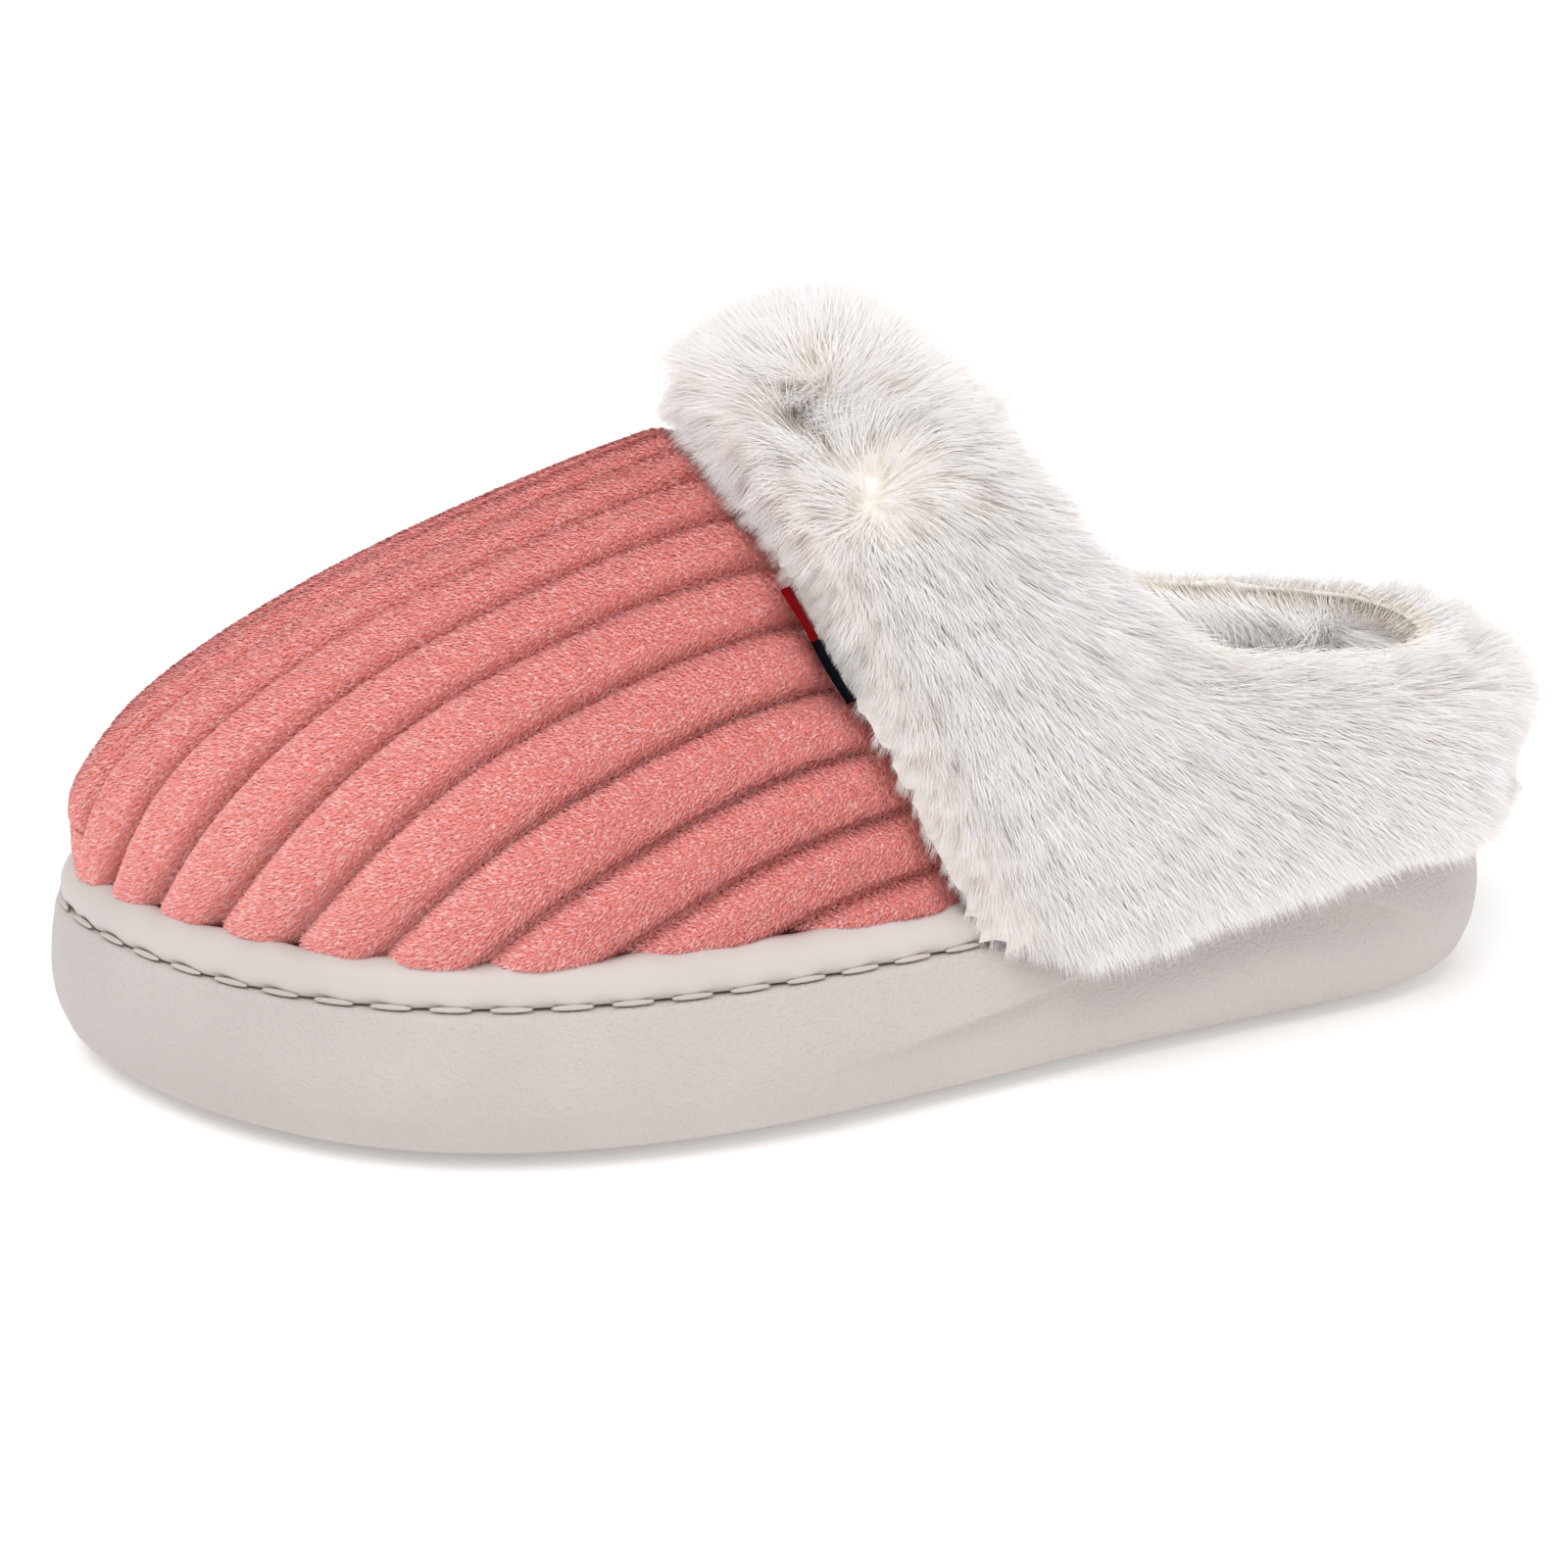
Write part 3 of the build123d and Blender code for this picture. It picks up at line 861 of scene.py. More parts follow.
# ------------------------------------------------------------------ the sole and its platform
@dataclass
class Sole:
    """The foam sole, the band round the platform, and the band's stitches."""

    outline: Outline
    level_insets: list[float] = field(default_factory=lambda: [10.5, 4.2, 1, 0, 0.6, 2, 3.4])
    level_heights: list[float] = field(default_factory=lambda: [0, 3.5, 9, 15, 22, 29, 36])
    pocket_inset: float = 9 * MM
    pocket_floor: float = 24 * MM
    rim_round: float = 1.2 * MM
    crease_depth: float = 2.0 * MM
    groove_pitch: float = 12 * MM
    groove_width: float = 3 * MM
    groove_depth: float = 2 * MM
    stitch_pitch: float = 9.6 * MM
    stitch_length: float = 7 * MM
    stitch_width: float = 1.0 * MM
    last_stitch_x: float = -17 * MM

    @property
    def rim(self) -> np.ndarray:
        """Height of the sole's rim at each point of the outline; it rises to the heel."""
        rise = ease(-30 * MM, -85 * MM, self.outline.points[:, 0])
        return RIM_HEIGHT + (HEEL_RIM_HEIGHT - RIM_HEIGHT) * rise

    def wall_inset(self, height: np.ndarray) -> np.ndarray:
        """How far the wall stands in from the outline at a height."""
        return smooth_line(self.level_heights, self.level_insets, height / MM) * MM

    def crease(self, height: np.ndarray) -> np.ndarray:
        """The moulded fold that runs along each side of the heel.

        Args:
            height: Height of each point of the ring.

        Returns:
            How far each point is pushed in.
        """
        x = self.outline.points[:, 0] / MM
        line = smooth_line([-112, -95, -83, -72, -59, -42, -29, -14, 10],
                           [17, 24, 27, 27.5, 25, 21.5, 18.5, 16.5, 13], x)
        below = line - height / MM
        fade = ease(12, -22, x) * ease(-114, -98, x)
        return self.crease_depth * fade * ease(-0.3, 0.9, below) * ease(15, 1.5, below)

    def wall_rings(self) -> list[np.ndarray]:
        """The outer wall and the rounded rim.

        Returns:
            Rings of points, from the ground up.
        """
        rings = []
        for share in np.linspace(0, 1, 60) ** 0.8:
            height = (self.rim - self.rim_round) * share
            rings.append(self.outline.ring(self.wall_inset(height) + self.crease(height), height))
        shoulder = self.wall_inset(self.rim)
        for angle in np.linspace(0.25, 1, 6) * math.pi / 2:
            inset = shoulder + 1.4 * MM * (1 - math.cos(angle)) - 0.15 * MM
            height = self.rim - self.rim_round * (1 - math.sin(angle))
            rings.append(self.outline.ring(inset, height))
        return rings

    def build_foam(self) -> bpy.types.Object:
        """The moulded sole, with the pocket for the platform and the tread.

        Returns:
            The piece.
        """
        base = self.wall_rings()
        hollow = [self.outline.ring(self.pocket_inset - 0.3 * MM, self.rim - 0.6 * MM),
                  self.outline.ring(self.pocket_inset, self.rim - 1.0 * MM),
                  self.outline.ring(self.pocket_inset, self.pocket_floor)]
        rings = np.array(base + hollow)
        count = rings.shape[1]
        faces = grid_faces(len(rings), count, False, True)
        faces.append(tuple(range(count)))
        faces.append(tuple((len(rings) - 1) * count + i for i in reversed(range(count))))
        sole = new_piece("sole_foam", rings, faces, [SOLE_FOAM.make()])
        cutter = self.tread_cutter()
        cut = sole.modifiers.new("tread", "BOOLEAN")
        cut.object = cutter
        cut.solver = "EXACT"
        mesh = evaluated(sole)
        discard(sole)
        discard(cutter)
        mesh.shade_smooth()
        mesh.set_sharp_from_angle(angle=math.radians(50))
        piece = show("outsole_foam", mesh)
        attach(piece, BODY)
        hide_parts("outsole")
        return piece

    def tread_cutter(self) -> bpy.types.Object:
        """Bars across the forefoot and the heel that cut the tread.

        Returns:
            A helper object.
        """
        tread_inset = 20 * MM
        edge = self.outline.ring(tread_inset, 0)
        work = bmesh.new()
        for middle, count in ((54 * MM, 9), (-86 * MM, 5)):
            for step in range(count):
                x = middle + (step - (count - 1) / 2) * self.groove_pitch
                near = edge[np.abs(edge[:, 0] - x) < 2 * MM]
                low, high = near[:, 1].min(), near[:, 1].max()
                size = Matrix.Diagonal((self.groove_width, high - low, 2 * self.groove_depth, 1))
                place = Matrix.Translation((x, (low + high) / 2, 0))
                bmesh.ops.create_cube(work, size=1, matrix=place @ size)
        return show("tread_cutter", mesh_from(work, "tread_cutter"))

    def build_band(self, rib_pitch: float) -> bpy.types.Object:
        """The band, a padded roll that puckers at each stitch and waves under the ribs.

        Args:
            rib_pitch: Width of a rib of the front, which presses on the band.

        Returns:
            The piece.
        """
        travel = self.outline.travel
        pucker = np.cos(travel * 2 * math.pi / self.stitch_pitch)
        wave = np.sin(travel * 2 * math.pi / rib_pitch)
        profile = [(6.8, 28.9, 0), (4.4, 29.0, 0.25), (3.7, 29.6, 0.45), (3.15, 30.5, 0.3),
                   (2.95, 31.6, 0.12), (3.1, 32.8, 0), (3.6, 34.0, 0), (4.5, 35.1, 0), (5.7, 35.9, 0),
                   (7.1, 36.3, 0), (8.6, 36.0, 0), (9.2, 34.8, 0), (8.8, 31.0, 0)]
        rings = []
        for inset, height, pinch in profile:
            lift = 0.2 * MM * wave * max(0.0, (height - 31) / 5)
            rings.append(self.outline.ring(inset * MM + 0.75 * pinch * MM * pucker, height * MM + lift))
        faces = grid_faces(len(rings), rings[0].shape[0], True, True)
        band = new_piece("platform_band", np.array(rings), faces, [BAND_SKIN.make()])
        soften(band, 1)
        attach(band, BODY)
        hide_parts("platform_cover")
        return band

    def build_stitches(self) -> bpy.types.Object:
        """The long stitches at the foot of the band, round the front only.

        Returns:
            The piece.
        """
        seat = self.outline.ring(3.0 * MM, 29.75 * MM)
        start = int(np.argmin(seat[:, 0]))
        seat = np.roll(seat, -start, axis=0)
        front = seat[seat[:, 0] > self.last_stitch_x]
        curve = bpy.data.curves.new("stitch_line", "CURVE")
        curve.dimensions = "3D"
        line = curve.splines.new("POLY")
        line.points.add(len(front) - 1)
        for point, spot in zip(line.points, front):
            point.co = (*spot, 1)
        host = bpy.data.objects.new("stitch_line", curve)
        bpy.context.scene.collection.objects.link(host)
        size = (self.stitch_width, self.stitch_width, self.stitch_length)
        values = {"Pitch": self.stitch_pitch, "Size": size, "Material": BAND_THREAD.make()}
        stitches = grow(host, stitch_recipe(), values, "band_stitches")
        discard(host)
        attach(stitches, BODY)
        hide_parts("platform_stitching")
        return stitches


def soften(piece: bpy.types.Object, levels: int) -> None:
    """Adds a subdivision surface, the same in view and render.

    Args:
        piece: The piece.
        levels: How often it is subdivided.
    """
    subdivision = piece.modifiers.new("soften", "SUBSURF")
    subdivision.levels = levels
    subdivision.render_levels = levels


# ------------------------------------------------------------------ the ribbed front
@dataclass
class Vamp:
    """The ribbed plush front of the slipper."""

    probe: Probe
    tip_x: float = field(default_factory=lambda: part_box("vamp_plush")[1][0])
    rib_pitch: float = 11.0 * MM
    rib_offset: float = 0.4
    rib_height: float = 4.0 * MM
    rib_lift: float = 1.3 * MM
    fan_evenness: float = 0.65
    tuck: float = 6 * MM
    row_count: int = 124
    column_count: int = 380

    def row_places(self) -> tuple[np.ndarray, np.ndarray]:
        """Foot and slope of each row, from the seam to the toe.

        Returns:
            Where each row meets z = 0, and how far it leans forward for each metre of height.
        """
        share = np.linspace(1, 0, self.row_count)
        foot = self.tip_x - 0.4 * MM - (self.tip_x - 0.4 * MM - SEAM_FOOT_X) * share ** 1.6
        slope = SEAM_SLOPE * ease(110 * MM, SEAM_FOOT_X, foot)
        return foot, slope

    @staticmethod
    def ridge(x: np.ndarray) -> np.ndarray:
        """How far to the side the top of the front runs."""
        return smooth_line([-36, 45, 98, 125], [-8, -10, -13, -14.5], x / MM) * MM

    def envelope(self) -> np.ndarray:
        """The outside of the front, found by rays towards it.

        Returns:
            Its points, row by row.
        """
        angles = np.linspace(0, math.pi, self.column_count)
        rows = []
        feet, slopes = self.row_places()
        far = 0.3
        for foot, slope in zip(feet[:-1], slopes[:-1]):
            middle = float(self.ridge(foot))
            inside = (foot + slope * PLATFORM_TOP + 0.2 * MM, middle, PLATFORM_TOP + 0.3 * MM)
            row = []
            for angle in angles:
                out_way = Vector((slope * math.sin(angle), math.cos(angle), math.sin(angle))).normalized()
                row.append(self.probe.hit(Vector(inside) + out_way * far, -out_way))
            rows.append(row)
        return np.array(rows)

    def from_ridge(self, shell: np.ndarray) -> np.ndarray:
        """How far round the cloth each point lies from the ridge, which decides its rib.

        The ribs run square from the seam and fan out over the toe: there height counts less.

        Args:
            shell: Points on the outside of the front, row by row.

        Returns:
            The signed distance at each point, negative on the outer side.
        """
        steps = np.diff(shell, axis=1)
        upright = 0.35 + 0.65 * ease(108 * MM, 5 * MM, shell[:, 1:, 0])
        places = []
        for weight in (upright, 1.0):
            run = np.sqrt(steps[:, :, 1] ** 2 + (weight * steps[:, :, 2]) ** 2)
            travel = np.concatenate([np.zeros((len(shell), 1)), np.cumsum(run, axis=1)], axis=1)
            crown = self.ridge(self.row_places()[0][:-1])
            middle = [np.interp(-y, -row[:, 1], way) for y, row, way in zip(crown, shell, travel)]
            places.append(travel - np.array(middle)[:, None])
        fanned, true = places
        ends = np.where(true < 0, fanned[:, :1] / true[:, :1], fanned[:, -1:] / true[:, -1:])
        return (1 - self.fan_evenness) * fanned + self.fan_evenness * true * ends

    def relief(self, shell: np.ndarray) -> tuple[np.ndarray, np.ndarray, np.ndarray]:
        """Presses the ribs into the front; they run out at the seam.

        Args:
            shell: Points on the outside of the front, row by row.

        Returns:
            The ribbed points, their normals, and how deep in a groove each lies, from 0 to 1.
        """
        along = unit(np.gradient(shell, axis=0))
        across = unit(np.gradient(shell, axis=1))
        normal = unit(np.cross(across, along))
        from_middle = shell - shell.mean(axis=1, keepdims=True)
        normal *= np.sign(np.sum(normal * from_middle, axis=2, keepdims=True))
        beat = (self.from_ridge(shell) / self.rib_pitch - self.rib_offset) % 1
        rib = 1 - np.abs(2 * beat - 1) ** 3.4
        from_seam = (shell[:, :, 0] - SEAM_SLOPE * shell[:, :, 2] - SEAM_FOOT_X) / math.hypot(1, SEAM_SLOPE)
        rib_out = 0.25 + 0.75 * ease(-1 * MM, 6 * MM, from_seam)
        depth = self.rib_height * (1 - rib * rib_out) - self.rib_lift
        return shell - normal * depth[:, :, None], normal, 1 - ease(0.05, 0.55, rib)

    def sealed(self, skin: np.ndarray, normal: np.ndarray,
               groove: np.ndarray) -> tuple[np.ndarray, np.ndarray]:
        """Adds the tuck under the seam, the closed tip and the hem along both sides.

        Args:
            skin: The ribbed points, row by row.
            normal: Their normals.
            groove: Their groove values.

        Returns:
            All the points, row by row, and their groove values.
        """
        step_in = np.array([-self.tuck * 0.5, 0, self.tuck * 0.25])
        hem = np.array([0, 2.5 * MM, -2.8 * MM])
        under = skin[:1] - normal[:1] * 1.5 * MM + step_in
        tip_middle = skin[-1:].mean(axis=1, keepdims=True)
        tip = skin[-1:] * 0.5 + tip_middle * 0.5 + np.array([1.0 * MM, 0, 0])
        end = np.broadcast_to(skin[-1].mean(axis=0) + np.array([1.2 * MM, 0, 0]), skin[-1:].shape)
        grid = np.concatenate([under + step_in, under, skin, tip, end])
        marks = np.concatenate([np.ones((2, self.column_count)), groove, groove[-1:], groove[-1:]])
        outer, inner = grid[:, :1] + hem * (1, -1, 1), grid[:, -1:] + hem
        grid = np.concatenate([outer, grid, inner], axis=1)
        return grid, np.concatenate([marks[:, :1], marks, marks[:, -1:]], axis=1)

    def build(self) -> bpy.types.Object:
        """The ribbed skin with flow, reach, cover and groove attributes.

        Returns:
            The piece.
        """
        grid, marks = self.sealed(*self.relief(self.envelope()))
        rows, columns = grid.shape[:2]
        faces = grid_faces(rows, columns, False, False)
        mesh = bpy.data.meshes.new("vamp_ribs")
        mesh.from_pydata(grid.reshape(-1, 3).tolist(), [], faces)
        flow = unit(np.gradient(grid, axis=0))
        store(mesh, "flow", flow.reshape(-1, 3))
        # How deep in a groove each point lies; the plush ground uses it to paint shade into the grooves.
        store(mesh, "groove", marks.ravel())
        ramp_in = np.broadcast_to((np.arange(rows) >= 2)[:, None], marks.shape)
        store(mesh, "cover", ramp_in.ravel().astype(float))
        store(mesh, "reach", np.full(marks.size, 1.1 * MM))
        store(mesh, "stand", np.zeros(marks.size))
        tidy(mesh)
        mesh.materials.append(PLUSH_GROUND.make())
        vamp = show("vamp_ribs", mesh)
        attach(vamp, BODY)
        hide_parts("vamp_plush")
        return vamp


# ------------------------------------------------------------------ the fur collar and the lining
@dataclass(frozen=True)
class Skin:
    """One soft surface of the upper, and the solids whose outside it is."""

    name: str
    near: tuple[str, ...]
    stands_for: str
    slot: str
    backing: Finish
    sink: float
    hair: float


SKINS = (
    Skin("collar_backing", ("collar_fur", "collar_foam"), "collar_fur", "fur", FUR_GROUND,
         5.5 * MM, 12.5 * MM),
    Skin("collar_fleece", ("collar_lining", "heel_counter"), "collar_lining", "fleece", FLEECE,
         4 * MM, 9 * MM),
    Skin("front_fleece", ("vamp_lining", "vamp_foam"), "vamp_lining", "fleece", FLEECE, 2 * MM, 4.5 * MM),
    Skin("footbed_fleece", ("sock_lining",), "sock_lining", "fleece", FLEECE, 1.5 * MM, 4 * MM),
)


@dataclass
class Upper:
    """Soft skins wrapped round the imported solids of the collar, the lining and the footbed."""

    voxel: float = 2.2 * MM
    calm_steps: int = 8
    blur_steps: int = 14
    even_steps: int = 16
    clearance: float = 1.2 * MM
    clearing_rounds: int = 3
    drift_seed: int = 11
    whorl: Vector = field(default_factory=lambda: Vector((-8 * MM, 30 * MM, 105 * MM)))
    hidden: tuple[str, ...] = ("vamp_plush", "platform_foam", "platform_board", "platform_cover", "outsole")

    def wrapped(self, solids: list[str]) -> bpy.types.Object:
        """One closed skin over all the solids.

        Args:
            solids: The nodes that it wraps.

        Returns:
            A helper object.
        """
        work = bmesh.new()
        for node in solids:
            work.from_mesh(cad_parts[node].data)
        helper = show("wrapped", mesh_from(work, "wrapped"))
        remesh = helper.modifiers.new("wrap", "REMESH")
        remesh.mode = "VOXEL"
        remesh.voxel_size = self.voxel
        calm = helper.modifiers.new("calm", "SMOOTH")
        calm.factor = 0.5
        calm.iterations = self.calm_steps
        mesh = evaluated(helper)
        discard(helper)
        return show("skin", mesh)

    def build(self) -> dict[str, bpy.types.Object]:
        """The fur backing, the collar's lining, the front's lining and the footbed.

        Returns:
            Each piece under its name.
        """
        solids = [node for skin in SKINS for node in skin.near] + list(self.hidden)
        whole = self.wrapped(solids)
        owners = self.nearest(whole.data, solids)
        self.groom(whole, owners)
        pieces = {}
        for skin in SKINS:
            piece = self.part_of(whole, skin, [owner in skin.near for owner in owners])
            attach(piece, BODY)
            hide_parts(skin.stands_for)
            pieces[skin.name] = piece
        discard(whole)
        return pieces

    @staticmethod
    def nearest(mesh: bpy.types.Mesh, solids: list[str]) -> list[str]:
        """Which solid each face of the skin belongs to.

        Args:
            mesh: The skin.
            solids: The nodes that it wraps.

        Returns:
            The nearest node of each face.
        """
        trees = {node: Probe(node).tree for node in solids}
        owners = []
        for polygon in mesh.polygons:
            distances = {node: tree.find_nearest(polygon.center)[3] for node, tree in trees.items()}
            owners.append(min(distances, key=distances.get))
        return owners

    def groom(self, whole: bpy.types.Object, owners: list[str]) -> None:
        """Sinks the skin to the roots of its pile and writes how the pile grows.

        Args:
            whole: The whole skin.
            owners: The solid that each face is nearest to.
        """
        mesh = whole.data
        sink = self.spread(mesh, owners, {node: skin.sink for skin in SKINS for node in skin.near})
        hair = self.spread(mesh, owners, {node: skin.hair for skin in SKINS for node in skin.near})
        inside = self.spread(mesh, owners, {node: 1.0 for skin in SKINS[1:] for node in skin.near})
        points = points_of(mesh)
        crown = ease(20 * MM, 4 * MM, np.linalg.norm(points - np.array(self.whorl), axis=1))
        heel_hem = ease(-112 * MM, -132 * MM, points[:, 0]) * ease(62 * MM, 44 * MM, points[:, 2])
        write_points(mesh, self.sunk(whole, sink * (1 - 0.35 * crown) + 4 * MM * heel_hem))
        points, normals = points_of(mesh), normals_of(mesh)
        rim = self.rim_share(inside)
        fringe = ease(-14 * MM, -3 * MM, self.from_seam(points)) * ease(118 * MM, 96 * MM, points[:, 2])
        trim = (1 - 0.35 * crown) * (1 - 0.55 * heel_hem) * (1 - 0.45 * fringe) * (1 + 0.8 * rim)
        store(mesh, "stand", 0.2 * np.clip(normals[:, 2], 0, 1) + 0.9 * rim)
        store(mesh, "reach", np.maximum(hair, 3 * MM) * trim)
        store(mesh, "cover", 1 + 3 * rim ** 4)
        store(mesh, "flow", self.comb(points, normals, inside))

    def spread(self, mesh: bpy.types.Mesh, owners: list[str], values: dict[str, float]) -> np.ndarray:
        """Carries a value from the faces' solids to the points, blurred over the borders.

        Args:
            mesh: The skin.
            owners: The solid that each face is nearest to.
            values: The value of each solid; the others count as 0.

        Returns:
            The value at each point.
        """
        total, share = np.zeros(len(mesh.vertices)), np.zeros(len(mesh.vertices))
        for polygon, owner in zip(mesh.polygons, owners):
            for index in polygon.vertices:
                total[index] += values.get(owner, 0.0)
                share[index] += 1
        return blurred(mesh, total / np.maximum(share, 1), self.blur_steps)

    def sunk(self, whole: bpy.types.Object, depth: np.ndarray) -> np.ndarray:
        """The roots of the pile: the skin moved in, evened out and kept outside the foam.

        Args:
            whole: The whole skin.
            depth: How far in each point goes.

        Returns:
            The moved points.
        """
        outward = normals_of(whole.data)
        points = blurred(whole.data, points_of(whole.data) - outward * depth[:, None], self.even_steps)
        core = Probe("collar_foam", "heel_counter").tree
        for _ in range(self.clearing_rounds):
            points = blurred(whole.data, points, 2)
            for index, point in enumerate(points):
                spot, normal, _, distance = core.find_nearest(Vector(point))
                if distance < self.clearance or (Vector(point) - spot).dot(normal) < 0:
                    points[index] = np.array(spot) + outward[index] * self.clearance
        return points

    def part_of(self, whole: bpy.types.Object, skin: Skin, wanted: list[bool]) -> bpy.types.Object:
        """Keeps some faces of the whole skin as a piece.

        Args:
            whole: The whole skin.
            skin: The part that is kept.
            wanted: Whether each face belongs to it.

        Returns:
            The piece.
        """
        work = bmesh.new()
        work.from_mesh(whole.data)
        work.faces.ensure_lookup_table()
        spare = [face for face, keep in zip(work.faces, wanted) if not keep]
        bmesh.ops.delete(work, geom=spare, context="FACES")
        mesh = mesh_from(work, skin.name)
        mesh.shade_smooth()
        mesh.materials.clear()
        mesh.materials.append(skin.backing.make())
        return show(skin.name, mesh)

    @staticmethod
    def from_seam(points: np.ndarray) -> np.ndarray:
        """Distance in front of the seam's plane."""
        return (points[:, 0] - SEAM_SLOPE * points[:, 2] - SEAM_FOOT_X) / math.hypot(1, SEAM_SLOPE)

    def comb(self, points: np.ndarray, normals: np.ndarray, inside: np.ndarray) -> np.ndarray:
        """Which way the pile lies: away from the crown and down outside, up and over the rim inside.

        Args:
            points: Roots of the pile.
            normals: The skin's normals.
            inside: 1 on the lining, 0 on the fur, and between them over the rim.

        Returns:
            A direction along the skin at each root.
        """
        away = points - np.array(self.whorl)
        lay = away / (np.linalg.norm(away, axis=1, keepdims=True) + 20 * MM) + np.array([-0.25, 0, -0.55])
        lay += np.array([0.8, 0, -0.35]) * ease(-12 * MM, -2 * MM, self.from_seam(points))[:, None]
        seed_set(self.drift_seed)
        drift = np.array([noise_vector(Vector(point) * 60) for point in points])
        opening = np.array([-75 * MM, 0, 0])
        outward = unit((points - opening) * np.array([1, 1, 0]))
        lay = lay * (1 - inside)[:, None] + (outward * 0.7 + np.array([0, 0, 0.8])) * inside[:, None]
        near_crown = ease(26 * MM, 6 * MM, np.linalg.norm(points - np.array(self.whorl), axis=1))
        lay += (0.2 + 0.8 * near_crown + 1.2 * self.rim_share(inside))[:, None] * drift
        flat = lay - normals * np.sum(lay * normals, axis=1, keepdims=True)
        parting = ease(0.55, 0.1, np.linalg.norm(flat, axis=1))
        ruffle = np.array([noise_vector(Vector(point) * 150) for point in points])
        flat += 1.1 * parting[:, None] * (ruffle - normals * np.sum(ruffle * normals, axis=1, keepdims=True))
        return unit(flat + 1e-6)

    @staticmethod
    def rim_share(inside: np.ndarray) -> np.ndarray:
        """1 where the fur meets the lining on top of the wall, 0 well away from it."""
        return 4 * inside * (1 - inside)


# ------------------------------------------------------------------ the folded side label
@dataclass
class RibbonLabel:
    """A woven ribbon folded in two and caught in the seam."""

    thickness_bulge: float = 0.25 * MM
    wave: float = 0.3 * MM
    run_count: int = 60

    def build(self) -> bpy.types.Object:
        """The label, in two colours, without lettering.

        Returns:
            The piece.
        """
        corners = points_of(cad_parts["side_label"].data)
        centre = (corners.min(axis=0) + corners.max(axis=0)) / 2
        _, _, axes = np.linalg.svd(corners - corners.mean(axis=0))
        length, width, thickness = [np.ptp((corners - centre) @ axis) for axis in axes]
        run, width_way, thin = axes
        run = run if run[2] < 0 else -run
        width_way = width_way if width_way[0] > 0 else -width_way
        profile = []
        for angle in np.linspace(0, 2 * math.pi, 28, endpoint=False):
            flat = math.copysign(abs(math.cos(angle)) ** 0.35, math.cos(angle)) * width / 2
            bulge = 1 + self.thickness_bulge / thickness * max(0.0, math.cos(angle))
            profile.append((flat, math.sin(angle) * thickness / 2 * bulge))
        rings = []
        for share in np.linspace(-0.5, 0.5, self.run_count):
            sag = self.wave * math.sin(share * 9) * 0.5
            rings.append([centre + run * share * length + width_way * flat
                          + thin * (thick + sag * (flat / width + 0.5)) for flat, thick in profile])
        rings = np.array(rings)
        faces = grid_faces(len(rings), len(profile), False, True)
        faces += [tuple(range(len(profile))),
                  tuple((len(rings) - 1) * len(profile) + i for i in range(len(profile)))]
        label = new_piece("folded_label", rings, faces, [LABEL_RED.make(), LABEL_NAVY.make()])
        mesh = label.data
        layer = mesh.uv_layers.new(name="ribbon")
        for polygon in mesh.polygons:
            place = (Vector(polygon.center) - Vector(centre)).dot(Vector(run)) / length + 0.5
            polygon.material_index = int(place > LABEL_SPLIT)
            for loop in polygon.loop_indices:
                spot = mesh.vertices[mesh.loops[loop].vertex_index].co - Vector(centre)
                layer.data[loop].uv = (spot.dot(Vector(run)) / length,
                                       spot.dot(Vector(width_way)) / length)
        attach(label, LABEL_BODY)
        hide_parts("side_label")
        return label


# ------------------------------------------------------------------ the studio
@dataclass(frozen=True)
class SkyLamp:
    """A broad soft light from one direction, even over the whole floor."""

    name: str
    place: tuple[float, float, float]
    width_degrees: float
    strength: float

    def hang(self) -> None:
        """Adds the lamp to the scene."""
        data = bpy.data.lights.new(self.name, "SUN")
        data.angle = math.radians(self.width_degrees)
        data.energy = self.strength
        lamp = bpy.data.objects.new(self.name, data)
        lamp.location = self.place
        lamp.rotation_euler = (-Vector(self.place)).to_track_quat("-Z", "Y").to_euler()
        bpy.context.scene.collection.objects.link(lamp)


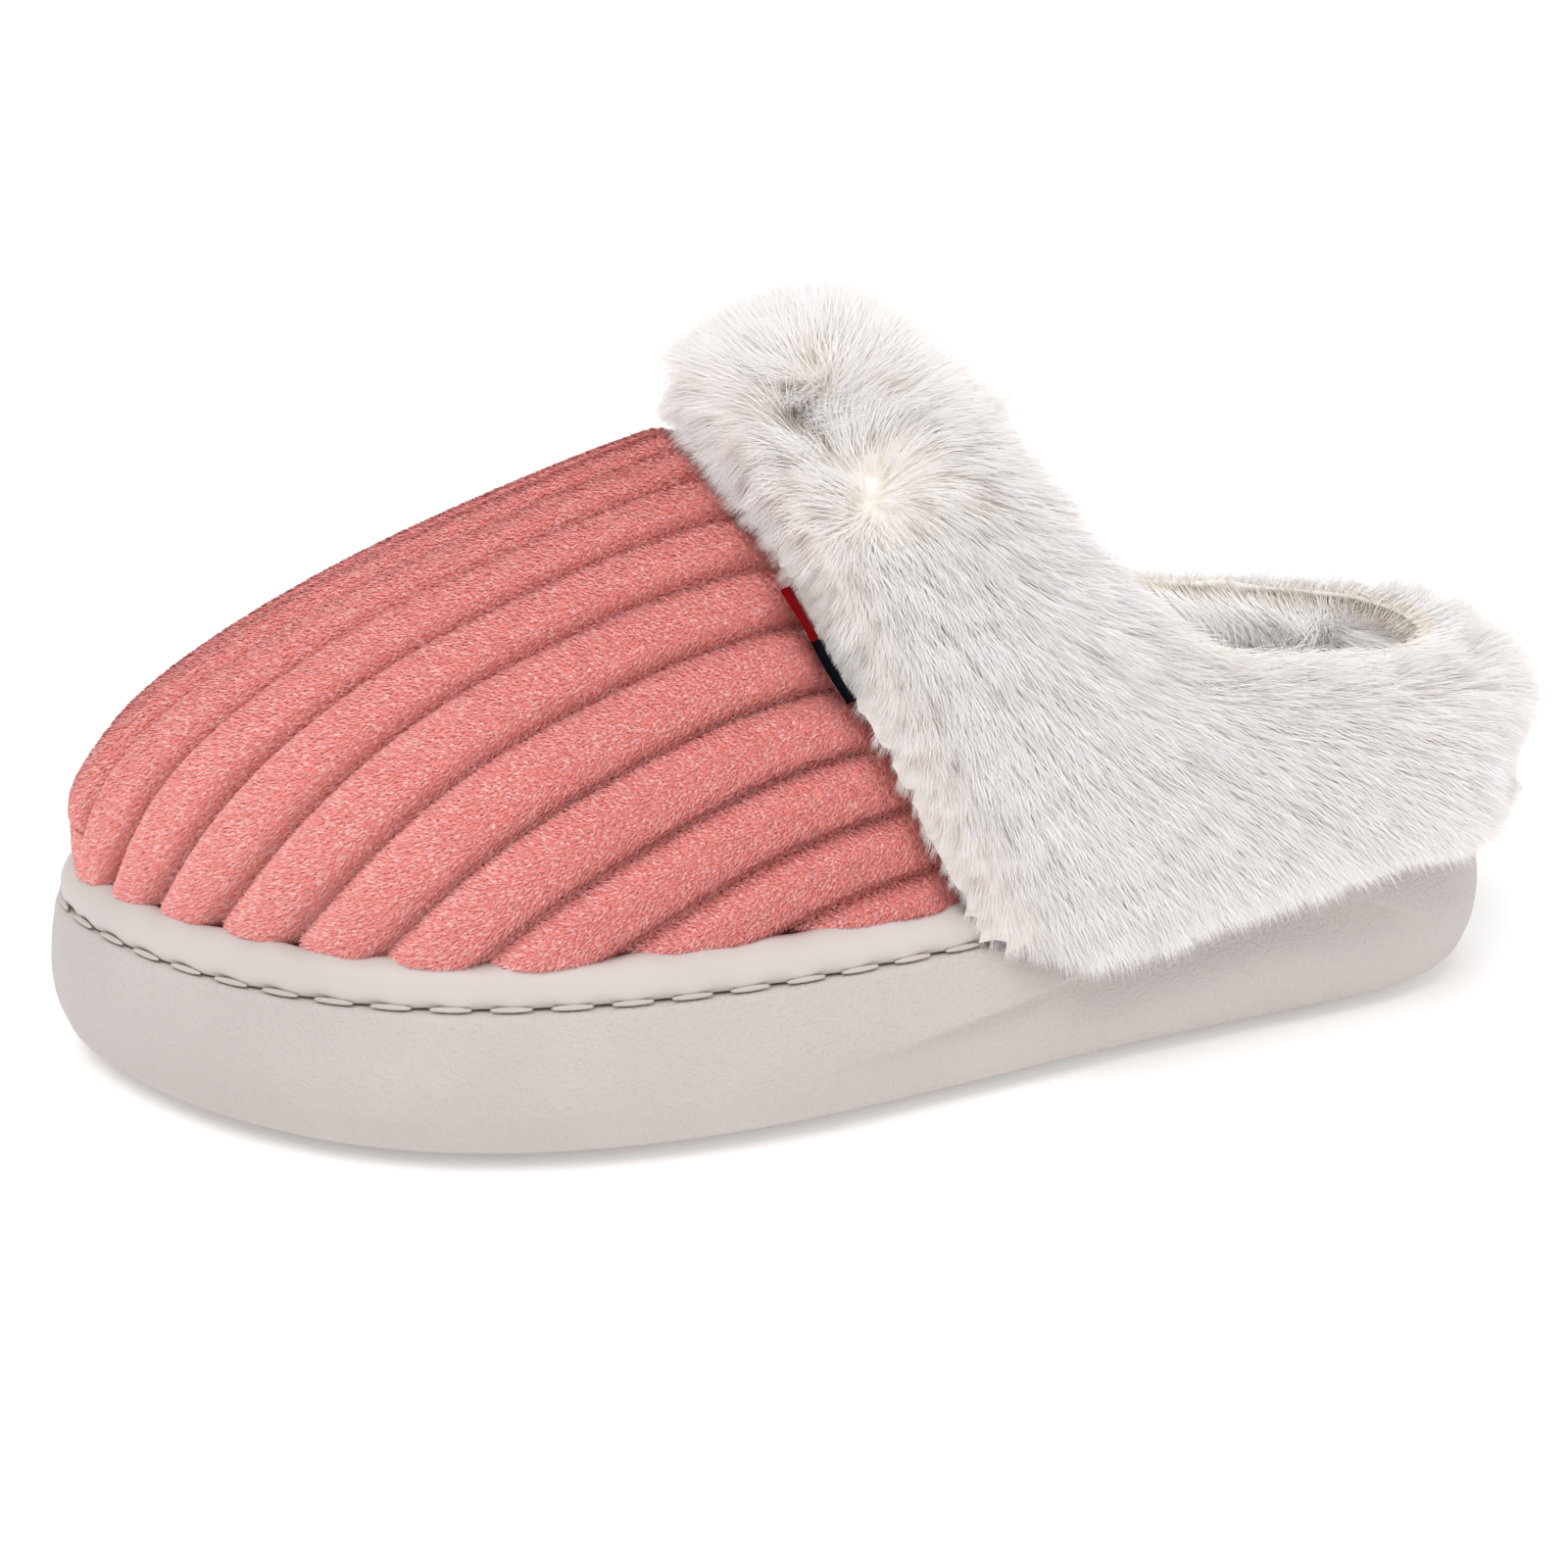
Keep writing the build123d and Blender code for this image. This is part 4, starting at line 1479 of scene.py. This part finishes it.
@dataclass(frozen=True)
class Studio:
    """A pale floor, soft lights and the camera."""

    camera_place: tuple[float, float, float] = (0.11128, 0.44036, 0.21557)
    target: tuple[float, float, float] = (0, 0, 0.030)
    lens: float = 62.3
    shift: tuple[float, float] = (-0.010, 0.0444)
    lamps: tuple[SkyLamp, ...] = (
        SkyLamp("key", (0.35, 0.45, 1.1), 35, 1.5),
        SkyLamp("fill", (-0.9, 0.9, 0.7), 60, 0.55),
        SkyLamp("back", (-0.3, -1.0, 0.9), 50, 0.55),
    )

    def build(self) -> None:
        """Sets the whole stage."""
        self.lay_floor()
        for lamp in self.lamps:
            lamp.hang()
        world = bpy.data.worlds.new("white_room")
        world.use_nodes = True
        world.node_tree.nodes["Background"].inputs["Color"].default_value = (1, 1, 1, 1)
        world.node_tree.nodes["Background"].inputs["Strength"].default_value = 0.5
        bpy.context.scene.world = world
        bpy.context.scene.view_settings.view_transform = "Standard"
        self.place_camera()

    def lay_floor(self) -> None:
        """A wide pale floor that the slipper stands on."""
        mesh = bpy.data.meshes.new("floor")
        half = 40.0
        mesh.from_pydata([(-half, -half, 0), (half, -half, 0), (half, half, 0), (-half, half, 0)], [],
                         [(0, 1, 2, 3)])
        material, _, surface = Finish("floor", (0.93, 0.925, 0.92), 0.9).shader()
        surface.inputs["Emission Color"].default_value = (1, 1, 1, 1)
        surface.inputs["Emission Strength"].default_value = 0.2
        mesh.materials.append(material)
        show("floor", mesh)

    def place_camera(self) -> None:
        """Puts the camera at the front quarter, a little above."""
        data = bpy.data.cameras.new("camera")
        data.lens = self.lens
        data.shift_x, data.shift_y = self.shift
        camera = bpy.data.objects.new("camera", data)
        camera.location = self.camera_place
        camera.rotation_euler = (Vector(self.target) - camera.location).to_track_quat("-Z", "Y").to_euler()
        bpy.context.scene.collection.objects.link(camera)
        bpy.context.scene.camera = camera


def dress_inner_nodes() -> None:
    """Gives the hidden solids their own materials."""
    finishes = {"vamp_foam": PADDING, "platform_foam": PADDING, "collar_foam": PADDING,
                "platform_board": BOARD, "heel_counter": BOARD, "collar_seam_thread": SEAM_THREAD}
    for node, finish in finishes.items():
        material = finish.make()
        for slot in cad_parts[node].material_slots:
            slot.material = material


def main() -> None:
    """Builds the slipper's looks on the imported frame."""
    logging.basicConfig(level=logging.INFO, format="%(name)s: %(message)s")
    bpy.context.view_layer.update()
    outline = Outline.sliced(Probe("outsole"), 15 * MM, 560)
    sole = Sole(outline)
    vamp = Vamp(Probe("vamp_plush"))
    sole.build_foam()
    sole.build_band(vamp.rib_pitch)
    sole.build_stitches()
    ribs = vamp.build()
    PLUSH_PILE.cover(ribs, [f"plush_pile_{letter}" for letter in "abc"], "plush")
    skins = Upper().build()
    FUR_PILE.cover(skins["collar_backing"], [f"collar_fur_{letter}" for letter in "abcdefgh"], "fur")
    LINING_PILE.cover(skins["collar_fleece"], ["collar_fleece_pile_a", "collar_fleece_pile_b"], "fleece")
    FLEECE_PILE.cover(skins["front_fleece"], ["front_fleece_pile"], "fleece")
    FLEECE_PILE.cover(skins["footbed_fleece"], ["footbed_fleece_pile"], "fleece")
    RibbonLabel().build()
    dress_inner_nodes()
    Studio().build()


if __name__ == "__main__":
    main()
